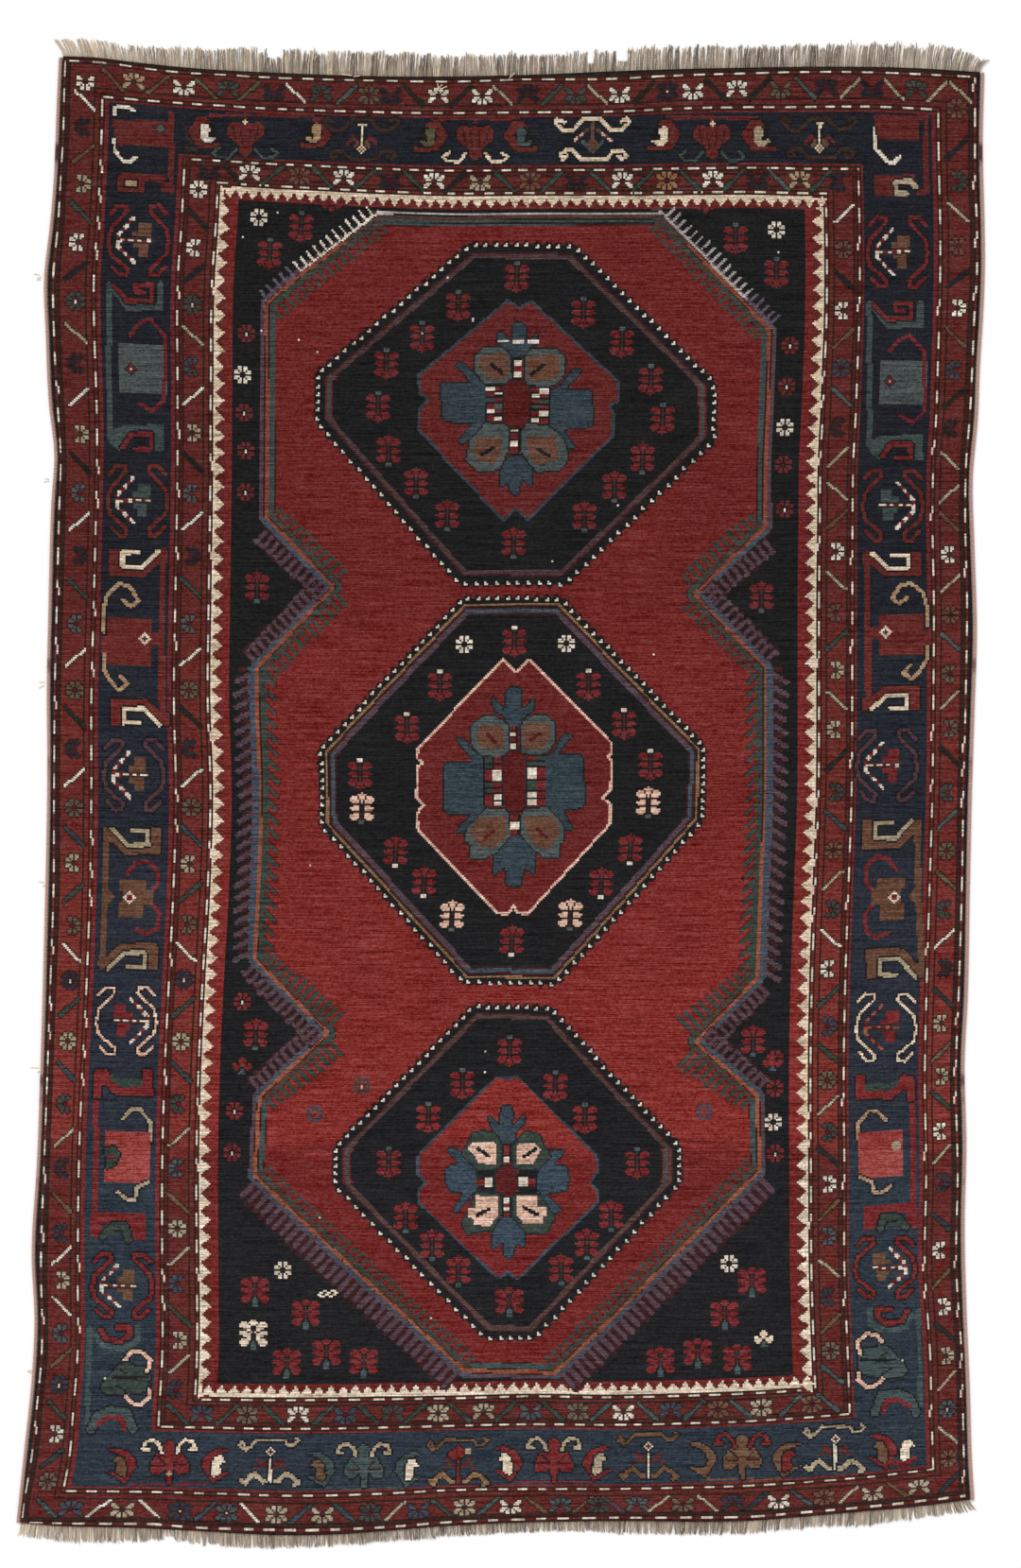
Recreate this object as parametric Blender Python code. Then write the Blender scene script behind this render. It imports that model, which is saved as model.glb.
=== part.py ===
"""A hand-knotted Azerbaijani rug, lying flat with its pile up.

The far end is towards +Y, the underside is at z = 0, and the origin is the middle of the
rug's outline. All sizes are in metres.
"""

import bmesh
import bpy
import numpy as np

RUG_NAME = "azerbaijani_rug"
SEED = 7

# Thicknesses and gaps
PILE_THICKNESS = 0.0070
PILE_EDGE_ROUNDING = 0.0014
SELVEDGE_WIDTH = 0.0073
SELVEDGE_HEIGHT = 0.0058
PIECE_GAP = 0.0003

# How finely the outline is followed
SIDE_STEPS = 96
END_STEPS = 56

# The rug's sides, over the selvedges: along the rug, then across it
LEFT_SIDE = (
    (-1.249, -0.834),
    (-1.119, -0.820),
    (-1.005, -0.808),
    (-0.900, -0.803),
    (-0.795, -0.808),
    (-0.633, -0.799),
    (-0.438, -0.792),
    (-0.260, -0.787),
    (-0.098, -0.783),
    (0.064, -0.781),
    (0.161, -0.782),
    (0.323, -0.779),
    (0.501, -0.774),
    (0.582, -0.769),
    (0.663, -0.778),
    (0.793, -0.784),
    (0.874, -0.787),
    (0.979, -0.776),
    (1.052, -0.770),
    (1.182, -0.765),
    (1.263, -0.761),
)
RIGHT_SIDE = (
    (-1.209, 0.808),
    (-1.151, 0.804),
    (-1.021, 0.800),
    (-0.876, 0.794),
    (-0.746, 0.791),
    (-0.600, 0.794),
    (-0.454, 0.791),
    (-0.357, 0.796),
    (-0.163, 0.800),
    (-0.017, 0.803),
    (0.145, 0.808),
    (0.275, 0.812),
    (0.420, 0.808),
    (0.542, 0.805),
    (0.647, 0.814),
    (0.728, 0.817),
    (0.825, 0.823),
    (0.915, 0.826),
    (0.987, 0.825),
    (1.117, 0.822),
    (1.235, 0.825),
)

# The ends of the pile, where the fringes start: across the rug, then along it
TOP_END = (
    (-0.761, 1.263),
    (-0.700, 1.261),
    (-0.635, 1.253),
    (-0.538, 1.243),
    (-0.376, 1.234),
    (-0.181, 1.228),
    (0.013, 1.230),
    (0.240, 1.239),
    (0.402, 1.243),
    (0.564, 1.245),
    (0.693, 1.243),
    (0.825, 1.235),
)
BOTTOM_END = (
    (-0.834, -1.249),
    (-0.765, -1.255),
    (-0.650, -1.258),
    (-0.538, -1.263),
    (-0.392, -1.271),
    (-0.311, -1.271),
    (-0.214, -1.265),
    (-0.107, -1.256),
    (0.013, -1.250),
    (0.175, -1.247),
    (0.434, -1.246),
    (0.520, -1.239),
    (0.622, -1.230),
    (0.693, -1.224),
    (0.752, -1.217),
    (0.808, -1.209),
)

# Fringes: a woven strip at the root and tapered locks of warp ends
LOCKS_PER_END = 148
LOCK_SHARE_OF_PITCH = 0.82
STRIP_WIDTH = 0.0040
STRIP_HEIGHT = 0.0032
LOCK_LENGTH_SPREAD = 0.07
LOCK_LEAN_SPREAD = 0.0009

# Sections of a lock past its root: share of its length, width and height
LOCK_SECTIONS = (
    (0.50, 0.94, 0.80),
    (1.00, 0.48, 0.42),
)

# Fringe lengths: across the rug, length, lean of the tips to the right
TOP_FRINGE = (
    (-0.761, 0.026, -0.019),
    (-0.735, 0.028, -0.012),
    (-0.685, 0.026, -0.007),
    (-0.620, 0.023, -0.003),
    (-0.546, 0.029, -0.001),
    (-0.430, 0.035, 0.000),
    (-0.320, 0.037, 0.001),
    (-0.147, 0.037, 0.002),
    (-0.043, 0.031, 0.000),
    (0.060, 0.030, 0.000),
    (0.168, 0.032, 0.001),
    (0.285, 0.035, 0.002),
    (0.460, 0.031, 0.002),
    (0.577, 0.034, 0.003),
    (0.716, 0.037, 0.004),
    (0.774, 0.034, 0.007),
    (0.825, 0.013, 0.016),
)
BOTTOM_FRINGE = (
    (-0.834, 0.017, -0.0083),
    (-0.800, 0.021, -0.003),
    (-0.732, 0.023, 0.000),
    (-0.660, 0.022, 0.000),
    (-0.580, 0.015, 0.001),
    (-0.545, 0.018, 0.001),
    (-0.430, 0.020, 0.000),
    (-0.310, 0.016, 0.000),
    (-0.180, 0.015, 0.001),
    (0.000, 0.015, 0.000),
    (0.113, 0.012, 0.000),
    (0.215, 0.018, 0.000),
    (0.435, 0.017, -0.001),
    (0.520, 0.015, -0.001),
    (0.622, 0.020, -0.001),
    (0.752, 0.015, 0.002),
    (0.808, 0.017, 0.013),
)

# Worn places in a fringe: across the rug, half width, share of the length left
TOP_WORN = (
    (-0.392, 0.014, 0.62),
    (0.149, 0.006, 0.40),
    (0.203, 0.009, 0.42),
)
BOTTOM_WORN = ((-0.572, 0.008, 0.62),)

# Yarn colours: red, green, blue and roughness
PILE_COLOUR = ((0.20, 0.018, 0.020), 0.92)
SELVEDGE_COLOUR = ((0.46, 0.24, 0.21), 0.88)
FRINGE_COLOUR = ((0.42, 0.34, 0.25), 0.90)


def clear_scene():
    """Remove every object that the file opened with."""
    for leftover in list(bpy.data.objects):
        bpy.data.objects.remove(leftover, do_unlink=True)


def yarn_material(name, colour):
    """A matt Principled material in a yarn's colour."""
    (red, green, blue), roughness = colour
    material = bpy.data.materials.new(name)
    material.use_nodes = True
    shader = material.node_tree.nodes["Principled BSDF"]
    shader.inputs["Base Color"].default_value = (red, green, blue, 1.0)
    shader.inputs["Roughness"].default_value = roughness
    shader.inputs["Metallic"].default_value = 0.0
    return material


def smooth_line(table, column, places):
    """A column's values at the given places, on a smooth line through the table's rows."""
    rows = np.array(table)
    knots = rows[:, 0]
    values = rows[:, column]
    slopes = np.gradient(values, knots)
    left = np.clip(np.searchsorted(knots, places) - 1, 0, len(knots) - 2)
    span = knots[left + 1] - knots[left]
    t = (places - knots[left]) / span
    rise = t * t * (3.0 - 2.0 * t)
    leave = t * (1.0 - t) ** 2 * span
    arrive = -t * t * (1.0 - t) * span
    ends = values[left] * (1.0 - rise) + values[left + 1] * rise
    return ends + slopes[left] * leave + slopes[left + 1] * arrive


def side_points(table, inset):
    """Points up one side of the rug, moved inwards by an inset."""
    along = np.linspace(table[0][0], table[-1][0], SIDE_STEPS)
    return list(zip(smooth_line(table, 1, along) + inset, along))


def end_points(table, first, last):
    """Points across one end of the rug, from one place to another."""
    across = np.linspace(first, last, END_STEPS)
    return list(zip(across, smooth_line(table, 1, across)))


def add_object(name, data, material, collection):
    """Put a mesh or a curve in the rug's collection."""
    piece = bpy.data.objects.new(name, data)
    data.materials.append(material)
    collection.objects.link(piece)
    return piece


def outline_curve(name, points, thickness, rounding):
    """A flat outline, filled, as thick as given, with its rims rounded inwards."""
    curve = bpy.data.curves.new(name, "CURVE")
    curve.dimensions = "2D"
    curve.fill_mode = "BOTH"
    curve.extrude = thickness / 2.0 - rounding
    curve.bevel_depth = rounding
    curve.bevel_resolution = 0
    curve.offset = -rounding
    spline = curve.splines.new("POLY")
    spline.points.add(len(points) - 1)
    for point, (x, y) in zip(spline.points, points):
        point.co = (x, y, 0.0, 1.0)
    spline.use_cyclic_u = True
    return curve


def make_body(collection):
    """The knotted body, between the selvedges and the fringes."""
    inset = SELVEDGE_WIDTH + PIECE_GAP
    left = side_points(LEFT_SIDE, inset)
    right = side_points(RIGHT_SIDE, -inset)
    top = end_points(TOP_END, left[-1][0], right[-1][0])
    bottom = end_points(BOTTOM_END, left[0][0], right[0][0])
    outline = left[1:-1] + top + right[-2:0:-1] + bottom[::-1]
    curve = outline_curve("rug_body", outline, PILE_THICKNESS, PILE_EDGE_ROUNDING)
    body = add_object("rug_body", curve, yarn_material("pile", PILE_COLOUR), collection)
    body.location.z = PILE_THICKNESS / 2.0


def selvedge_section(guides):
    """The flat-bottomed oval section that both selvedges share."""
    half_width = SELVEDGE_WIDTH / 2.0
    curve = bpy.data.curves.new("selvedge_section", "CURVE")
    curve.dimensions = "2D"
    spline = curve.splines.new("POLY")
    corners = (
        (-0.72, 0.0),
        (0.72, 0.0),
        (1.0, 0.30),
        (0.86, 0.74),
        (0.34, 1.0),
        (-0.34, 1.0),
        (-0.86, 0.74),
        (-1.0, 0.30),
    )
    spline.points.add(len(corners) - 1)
    for point, (across, up) in zip(spline.points, reversed(corners)):
        point.co = (across * half_width, up * SELVEDGE_HEIGHT, 0.0, 1.0)
    spline.use_cyclic_u = True
    section = bpy.data.objects.new("selvedge_section", curve)
    section.hide_render = True
    section.display_type = "WIRE"
    guides.objects.link(section)
    return section


def make_selvedge(name, points, section, material, collection):
    """One overcast side cord, swept along its side of the rug."""
    curve = bpy.data.curves.new(name, "CURVE")
    curve.dimensions = "3D"
    curve.twist_mode = "Z_UP"
    curve.bevel_mode = "OBJECT"
    curve.bevel_object = section
    curve.use_fill_caps = True
    spline = curve.splines.new("POLY")
    spline.points.add(len(points) - 1)
    for point, (x, y) in zip(spline.points, points):
        point.co = (x, y, 0.0, 1.0)
    add_object(name, curve, material, collection)


def worn_share(worn, across):
    """The share of its length that a lock keeps in a worn place."""
    share = 1.0
    for centre, half_width, left in worn:
        if abs(across - centre) < half_width:
            share = left
    return share


def make_fringe(name, end, fringe, worn, outwards, material, collection):
    """A woven strip past one end of the pile, with its locks of warp ends.

    outwards is 1 at the far end and -1 at the near end.
    """
    chance = np.random.default_rng(SEED)
    stations = 2 * LOCKS_PER_END
    first, last = end[0][0], end[-1][0]
    pitch = (last - first) / (LOCKS_PER_END - 1 + LOCK_SHARE_OF_PITCH)
    lock_starts = first + pitch * np.arange(LOCKS_PER_END)
    across = np.empty(stations)
    across[0::2] = lock_starts
    across[1::2] = lock_starts + pitch * LOCK_SHARE_OF_PITCH
    roots = smooth_line(end, 1, across) + outwards * PIECE_GAP

    strip = bmesh.new()
    bmesh.ops.create_cube(strip, size=1.0)
    lengthwise = [edge for edge in strip.edges if edge.verts[0].co.x != edge.verts[1].co.x]
    bmesh.ops.subdivide_edges(strip, edges=lengthwise, cuts=stations - 2, use_grid_fill=True)
    for corner in strip.verts:
        station = round((corner.co.x + 0.5) * (stations - 1))
        step = STRIP_WIDTH if corner.co.y > 0.0 else 0.0
        height = STRIP_HEIGHT if corner.co.z > 0.0 else 0.0
        corner.co = (across[station], roots[station] + outwards * step, height)

    def is_outer(face):
        centre = face.calc_center_median()
        station = min(stations - 2, max(0, np.searchsorted(across, centre.x) - 1))
        middle = (roots[station] + roots[station + 1]) / 2.0
        past_middle = outwards * (centre.y - middle) > STRIP_WIDTH * 0.9
        return past_middle and station % 2 == 0

    lock_faces = [face for face in strip.faces if is_outer(face)]
    lock_faces.sort(key=lambda face: face.calc_center_median().x)
    slopes = (roots[1::2] - roots[0::2]) / (across[1::2] - across[0::2])
    locks = []
    for face, slope in zip(lock_faces, slopes):
        middle = face.calc_center_median()
        length, lean = (float(smooth_line(fringe, column, middle.x)) for column in (1, 2))
        length *= worn_share(worn, middle.x) * (1.0 + LOCK_LENGTH_SPREAD * chance.uniform(-1.0, 1.0))
        lean += LOCK_LEAN_SPREAD * chance.uniform(-1.0, 1.0)
        locks.append((middle.x, middle.y, length, lean, slope))

    faces = lock_faces
    for share, width_share, height_share in LOCK_SECTIONS:
        faces = bmesh.ops.extrude_discrete_faces(strip, faces=faces)["faces"]
        half_width = pitch * LOCK_SHARE_OF_PITCH * width_share / 2.0
        for face, (x, y, length, lean, slope) in zip(faces, locks):
            face_middle = face.calc_center_median()
            for corner in face.verts:
                aside = half_width if corner.co.x > face_middle.x else -half_width
                top = corner.co.z > face_middle.z
                corner.co.x = x + lean * share + aside
                corner.co.y = y + outwards * length * share + slope * aside
                corner.co.z = STRIP_HEIGHT * height_share if top else 0.0
    if outwards < 0:
        bmesh.ops.reverse_faces(strip, faces=strip.faces)

    mesh = bpy.data.meshes.new(name)
    strip.to_mesh(mesh)
    strip.free()
    add_object(name, mesh, material, collection)


def make_rug():
    """All of the rug's pieces."""
    clear_scene()
    collection = bpy.data.collections.new(RUG_NAME)
    guides = bpy.data.collections.new("guides")
    for group in (collection, guides):
        bpy.context.scene.collection.children.link(group)

    make_body(collection)

    section = selvedge_section(guides)
    selvedge_yarn = yarn_material("selvedge_yarn", SELVEDGE_COLOUR)
    half_width = SELVEDGE_WIDTH / 2.0
    make_selvedge("selvedge_left", side_points(LEFT_SIDE, half_width), section, selvedge_yarn, collection)
    make_selvedge("selvedge_right", side_points(RIGHT_SIDE, -half_width), section, selvedge_yarn, collection)

    warp_yarn = yarn_material("warp_yarn", FRINGE_COLOUR)
    make_fringe("fringe_top", TOP_END, TOP_FRINGE, TOP_WORN, 1, warp_yarn, collection)
    make_fringe("fringe_bottom", BOTTOM_END, BOTTOM_FRINGE, BOTTOM_WORN, -1, warp_yarn, collection)


make_rug()
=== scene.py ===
"""The looks of a hand-knotted Azerbaijani rug, laid flat with its pile up.

The pile is drawn as a weaver draws it, knot by knot on a chart, and the chart is then laid
on a cloth as uneven as the real one. Places on the chart are knots, counted from the rug's
top left corner. Places on the floor are squares of 1.62 mm, counted across and down.
"""

import math

import bpy
import numpy as np
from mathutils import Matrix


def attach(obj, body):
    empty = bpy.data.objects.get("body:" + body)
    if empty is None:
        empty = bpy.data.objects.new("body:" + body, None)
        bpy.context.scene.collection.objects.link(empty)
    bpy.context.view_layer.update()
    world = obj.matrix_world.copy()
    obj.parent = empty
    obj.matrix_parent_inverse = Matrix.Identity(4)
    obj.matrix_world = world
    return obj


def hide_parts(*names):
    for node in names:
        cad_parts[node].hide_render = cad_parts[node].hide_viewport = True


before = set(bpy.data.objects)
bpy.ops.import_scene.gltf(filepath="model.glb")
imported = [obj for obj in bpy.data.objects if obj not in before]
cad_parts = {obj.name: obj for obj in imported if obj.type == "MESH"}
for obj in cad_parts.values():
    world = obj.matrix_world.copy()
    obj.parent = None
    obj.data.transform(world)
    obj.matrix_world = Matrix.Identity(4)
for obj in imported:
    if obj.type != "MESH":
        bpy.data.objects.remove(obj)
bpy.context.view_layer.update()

# The floor's squares, and the square that the rug's origin lies on
SQUARE = 0.00162
ORIGIN_ACROSS = 532.0
ORIGIN_DOWN = 839.5

# The chart's size, in knots, and how many knots wide a face of the cloth is
COLS = 496
ROWS = 776
CELL = 4
SQUARES_TO_A_KNOT = 1.965

# Heights of the pile, in metres
PILE_TOP = 0.0069
BACK_TOP = 0.0017

# The overcast edges, the gap between them and the pile, and the warp ends, in metres
SELVEDGE_WIDTH = 0.0073
SELVEDGE_HEIGHT = 0.0058
PIECE_GAP = 0.0003
WRAP_RADIUS = 0.0012
WRAP_PITCH = 0.0024
THREAD_RADIUS = 0.00085
THREAD_PITCH = 0.0016
LOCK_PITCH = 0.0108
STRIP_WIDTH = 0.0040

# Warp ends at the far and the near end: across, length past the woven strip and lean, in mm
FAR_FRINGE = (
    (-761, 26, -19), (-735, 28, -12), (-685, 26, -7), (-620, 23, -3), (-546, 29, -1), (-430, 35, 0),
    (-320, 37, 1), (-147, 37, 2), (-43, 31, 0), (60, 30, 0), (168, 32, 1), (285, 35, 2),
    (460, 31, 2), (577, 34, 3), (716, 37, 4), (774, 34, 7), (825, 13, 16),
)
NEAR_FRINGE = (
    (-834, 17, -8.3), (-800, 21, -3), (-732, 23, 0), (-660, 22, 0), (-580, 15, 1), (-545, 18, 1),
    (-430, 20, 0), (-310, 16, 0), (-180, 15, 1), (0, 15, 0), (113, 12, 0), (215, 18, 0),
    (435, 17, -1), (520, 15, -1), (622, 20, -1), (752, 15, 2), (808, 17, 13),
)

# Worn places of the warp ends: across and half width in mm, and share of the length left
FAR_WORN = ((-392, 14, 0.62), (149, 6, 0.4), (203, 9, 0.42))
NEAR_WORN = ((-572, 8, 0.62),)

# How pale the warp ends are along each end: across in mm and shade, 0 dark taupe to 1 cream
FAR_SHADES = (
    (-770, 1.0), (-720, 0.72), (-600, 0.5), (-450, 0.36), (-400, 0.16), (-340, 0.34), (-100, 0.36),
    (100, 0.34), (300, 0.38), (600, 0.34), (830, 0.52),
)
NEAR_SHADES = (
    (-840, 0.85), (-760, 0.58), (-600, 0.46), (-400, 0.4), (0, 0.32), (400, 0.34), (830, 0.46),
)

# Threads that run up the rug: their columns on the chart
UPRIGHT_COLS = (3, 23, 84, 414, 475, 494)

# Where those threads lie: down, then across at each thread
UPRIGHTS = (
    (60, 70, 111, 236, 873, 990, 1032), (90, 69, 110, 235, 873, 991, 1032),
    (140, 68, 109, 233, 873, 991, 1032), (190, 65, 107, 230, 874, 992, 1032),
    (240, 62.5, 104.5, 227.5, 875, 993, 1034), (290, 58, 101, 224, 875.5, 993, 1034),
    (340, 58, 101, 222.5, 875, 992, 1031), (390, 60, 102.5, 222.5, 873, 990.5, 1029),
    (440, 63, 104, 222, 871, 989, 1026.5), (490, 65, 104, 222, 868.5, 986, 1022.5),
    (540, 64, 103, 221.5, 868, 985, 1021.5), (640, 61.5, 100.5, 220, 867, 986.5, 1023.5),
    (740, 59, 98, 219, 867, 986, 1022), (840, 58, 98, 222, 866.5, 985, 1019.5),
    (940, 58, 96.5, 219, 863, 982, 1018), (1040, 54.5, 93, 213.5, 859.5, 979, 1015),
    (1140, 51, 88, 209, 858, 977, 1011.5), (1240, 47.5, 84.5, 207, 858.5, 978.5, 1013.5),
    (1340, 45, 83.5, 207.5, 859, 977, 1012), (1440, 45, 83, 207.5, 862, 983, 1018),
    (1490, 40, 79, 205, 864, 984, 1019), (1540, 35, 75, 203, 865.5, 985.5, 1020),
    (1590, 26, 66, 199, 867, 987, 1021), (1625, 22, 62, 197, 868, 988, 1022),
)

# Threads that run across the rug: their rows on the chart
LEVEL_ROWS = (3, 20, 63, 706, 757, 775)

# Where those threads lie: across, then down at each thread
LEVELS = (
    (20, 61, 96, 182, 1474, 1577, 1611), (60, 63, 98, 184, 1475.5, 1578, 1612),
    (120, 67, 103, 188.5, 1477, 1578.5, 1612.5), (160, 73, 106.5, 191, 1478, 1579, 1612.5),
    (200, 77, 109.5, 193.5, 1479, 1580, 1616), (240, 79, 112, 195.5, 1479.5, 1581, 1617.5),
    (280, 81.5, 114.5, 198, 1480, 1582.5, 1618.5), (320, 83, 116, 200, 1480, 1583, 1619),
    (400, 85, 118.5, 204, 1479, 1581, 1616.5), (480, 86, 119.5, 206.5, 1478, 1577, 1610.5),
    (560, 83.5, 118.5, 206, 1476, 1576, 1607.5), (640, 83.5, 118, 206, 1477, 1576, 1606),
    (720, 79.5, 114.5, 205.5, 1475.5, 1574.5, 1605.5), (800, 77, 113, 205, 1472.5, 1572, 1604.5),
    (840, 76, 113, 206, 1470, 1569.5, 1601), (920, 76, 112.5, 207.5, 1463, 1563, 1594),
    (1000, 79.5, 116, 211, 1454.5, 1553.5, 1585), (1050, 82, 118, 213.5, 1449, 1548, 1579),
)

# Yarns, as dyed for the far end, the middle and the near end of the rug
YARNS = {
    "navy": ((30, 31, 38), (43, 47, 57), (44, 52, 62)),
    "night": ((27, 26, 27), (30, 29, 31), (31, 31, 33)),
    "field_red": ((102, 34, 32), (127, 43, 39), (108, 36, 34)),
    "border_red": ((87, 35, 32), (118, 46, 41), (94, 38, 35)),
    "wine": ((91, 34, 32), (104, 35, 33), (104, 38, 36)),
    "crimson": ((96, 34, 35), (114, 38, 39), (110, 38, 39)),
    "ivory": ((196, 176, 152), (206, 184, 160), (208, 190, 168)),
    "white": ((196, 184, 168), (202, 188, 172), (200, 186, 170)),
    "dark_brown": ((44, 29, 22), (47, 33, 25), (45, 34, 26)),
    "brown": ((92, 62, 48), (96, 66, 50), (100, 72, 54)),
    "camel": ((148, 120, 94), (156, 128, 102), (158, 132, 106)),
    "gold": ((126, 92, 62), (124, 90, 64), (132, 100, 70)),
    "olive": ((82, 72, 54), (90, 80, 62), (94, 86, 68)),
    "green": ((50, 61, 55), (52, 64, 58), (54, 63, 58)),
    "teal": ((68, 74, 73), (72, 80, 79), (64, 78, 80)),
    "blue": ((48, 58, 65), (52, 64, 73), (54, 68, 80)),
    "lavender": ((84, 76, 88), (80, 72, 84), (82, 74, 88)),
    "purple": ((70, 48, 54), (76, 52, 58), (78, 56, 64)),
    "rust": ((122, 62, 46), (144, 78, 54), (138, 74, 50)),
    "pink": ((196, 156, 138), (204, 166, 146), (202, 164, 144)),
    "rose": ((122, 44, 42), (140, 56, 52), (148, 66, 61)),
    "dark_red": ((78, 26, 25), (88, 29, 29), (84, 30, 31)),
    "maroon": ((56, 28, 27), (60, 30, 31), (58, 30, 32)),
    "charcoal": ((33, 33, 32), (38, 38, 38), (39, 41, 44)),
    "plum": ((70, 50, 50), (72, 52, 54), (72, 53, 55)),
    "brown_plum": ((70, 50, 47), (76, 55, 52), (80, 58, 55)),
    "sea": ((56, 66, 65), (60, 72, 71), (60, 74, 73)),
    "straw": ((146, 130, 106), (154, 138, 114), (158, 142, 120)),
    "dusk": ((52, 38, 33), (56, 42, 37), (58, 44, 40)),
    "grey": ((150, 142, 138), (150, 142, 140), (150, 142, 140)),
    "mauve": ((76, 58, 66), (80, 61, 68), (80, 62, 70)),
    "slate": ((60, 71, 82), (62, 74, 86), (64, 70, 82)),
}
YARN = {name: number for number, name in enumerate(YARNS)}
RAMP_STOPS = 32

SEED = 11


def smooth_columns(table, places):
    """Every column of a table but the first, read along smooth lines at the places."""
    rows = np.array(table, float)
    knots, values = rows[:, 0], rows[:, 1:]
    slopes = np.gradient(values, knots, axis=0)
    left = np.clip(np.searchsorted(knots, places) - 1, 0, len(knots) - 2)
    span = (knots[left + 1] - knots[left])[:, None]
    t = (np.clip(places, knots[0], knots[-1]) - knots[left])[:, None] / span
    rise = t * t * (3.0 - 2.0 * t)
    leave = t * (1.0 - t) ** 2 * span
    arrive = -t * t * (1.0 - t) * span
    ends = values[left] * (1.0 - rise) + values[left + 1] * rise
    return (ends + slopes[left] * leave + slopes[left + 1] * arrive).T


def body_sides():
    """The four sides of the CAD body, each as rows of across and down, in squares."""
    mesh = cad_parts["rug_body"].data
    corners = np.array([v.co for v in mesh.vertices])
    middle = (corners[:, 2] > 0.001) & (corners[:, 2] < 0.006)
    ring = np.unique(np.round(corners[middle, :2], 6), axis=0)
    ring = ring[np.argsort(np.arctan2(ring[:, 1], ring[:, 0]))]
    places = np.stack(
        (ring[:, 0] / SQUARE + ORIGIN_ACROSS, ORIGIN_DOWN - ring[:, 1] / SQUARE), axis=1
    )
    turns = [
        int(np.argmax(places @ way)) for way in ((1, 1), (1, -1), (-1, -1), (-1, 1))
    ]
    sides = []
    for first, last in zip(turns, turns[1:] + turns[:1]):
        count = (last - first) % len(places) + 1
        sides.append(places[(first + np.arange(count)) % len(places)])
    right, top, left, bottom = sides
    return left, right, top, bottom


class Cloth:
    """The uneven cloth: where each knot of the chart lies on the floor."""

    def __init__(self):
        left, right, top, bottom = body_sides()
        self.down = np.arange(50.0, 1630.0, 2.0)
        self.across = np.arange(10.0, 1050.0, 2.0)
        left, right = (
            np.interp(self.down, *side[np.argsort(side[:, 1])].T[::-1]) for side in (left, right)
        )
        top, bottom = (
            np.interp(self.across, *side[np.argsort(side[:, 0])].T) for side in (top, bottom)
        )
        self.uprights = np.vstack((left, smooth_columns(UPRIGHTS, self.down), right))
        self.levels = np.vstack((top, smooth_columns(LEVELS, self.across), bottom))
        self.cols = np.array((0, *UPRIGHT_COLS, COLS), float)
        self.rows = np.array((0, *LEVEL_ROWS, ROWS), float)

    def knot(self, across, down):
        """The column and row of the knot at a place on the floor."""
        uprights = [np.interp(down, self.down, line) for line in self.uprights]
        levels = [np.interp(across, self.across, line) for line in self.levels]
        return (
            float(np.interp(across, uprights, self.cols)),
            float(np.interp(down, levels, self.rows)),
        )

    def squares(self, cols, rows):
        """Where a grid of columns and rows lies on the floor, across and down."""
        col_shares = [np.interp(cols, self.cols, unit) for unit in np.eye(len(self.cols))]
        row_shares = [np.interp(rows, self.rows, unit) for unit in np.eye(len(self.rows))]
        down = np.repeat(np.interp(rows, (0, ROWS), (75, 1612))[:, None], len(cols), axis=1)
        for _ in range(4):
            across = sum(
                share[None, :] * np.interp(down, self.down, line)
                for share, line in zip(col_shares, self.uprights)
            )
            down = sum(
                share[:, None] * np.interp(across, self.across, line)
                for share, line in zip(row_shares, self.levels)
            )
        return across, down


cloth = Cloth()
knots = np.full((ROWS, COLS), YARN["navy"], np.uint8)
row_middles, col_middles = np.mgrid[0:ROWS, 0:COLS] + 0.5
chance = np.random.default_rng(SEED)


# Drawing on the chart


def fill(left, top, right, bottom, yarn):
    """A rectangle of knots."""
    knots[round(top) : round(bottom), round(left) : round(right)] = YARN[yarn]


def apart(first, last, cols, rows):
    """How far knots are from a straight stretch of line."""
    dc, dr = last[0] - first[0], last[1] - first[1]
    share = ((cols - first[0]) * dc + (rows - first[1]) * dr) / max(dc * dc + dr * dr, 1e-9)
    share = np.clip(share, 0.0, 1.0)
    return np.hypot(cols - first[0] - share * dc, rows - first[1] - share * dr)


def reach(points, thick):
    """The knots within half a thickness of a line through points on the chart."""
    near = np.zeros(knots.shape, bool)
    for first, last in zip(points, points[1:]):
        low = np.minimum(first, last) - thick - 2
        high = np.maximum(first, last) + thick + 2
        (left, top), (right, bottom) = (np.maximum(ends, 0).astype(int) for ends in (low, high))
        here = slice(top, bottom), slice(left, right)
        near[here] |= apart(first, last, col_middles[here], row_middles[here]) <= thick / 2.0
    return near


def inside(points):
    """The knots inside an outline of points on the chart."""
    within = np.zeros(knots.shape, bool)
    for (c0, r0), (c1, r1) in zip(points, points[1:] + points[:1]):
        if r0 == r1:
            continue
        crosses = (row_middles > min(r0, r1)) & (row_middles <= max(r0, r1))
        within ^= crosses & (col_middles < c0 + (row_middles - r0) * (c1 - c0) / (r1 - r0))
    return within


def widen(mask):
    """A mask of knots with one more knot round it."""
    wide = mask.copy()
    wide[1:] |= mask[:-1]
    wide[:-1] |= mask[1:]
    wide[:, 1:] |= mask[:, :-1]
    wide[:, :-1] |= mask[:, 1:]
    return wide


def put(mask, yarn, outline=None):
    """Knot a mask in a yarn, with an outline round it."""
    if outline:
        knots[widen(mask) & ~mask] = YARN[outline]
    knots[mask] = YARN[yarn]


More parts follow.
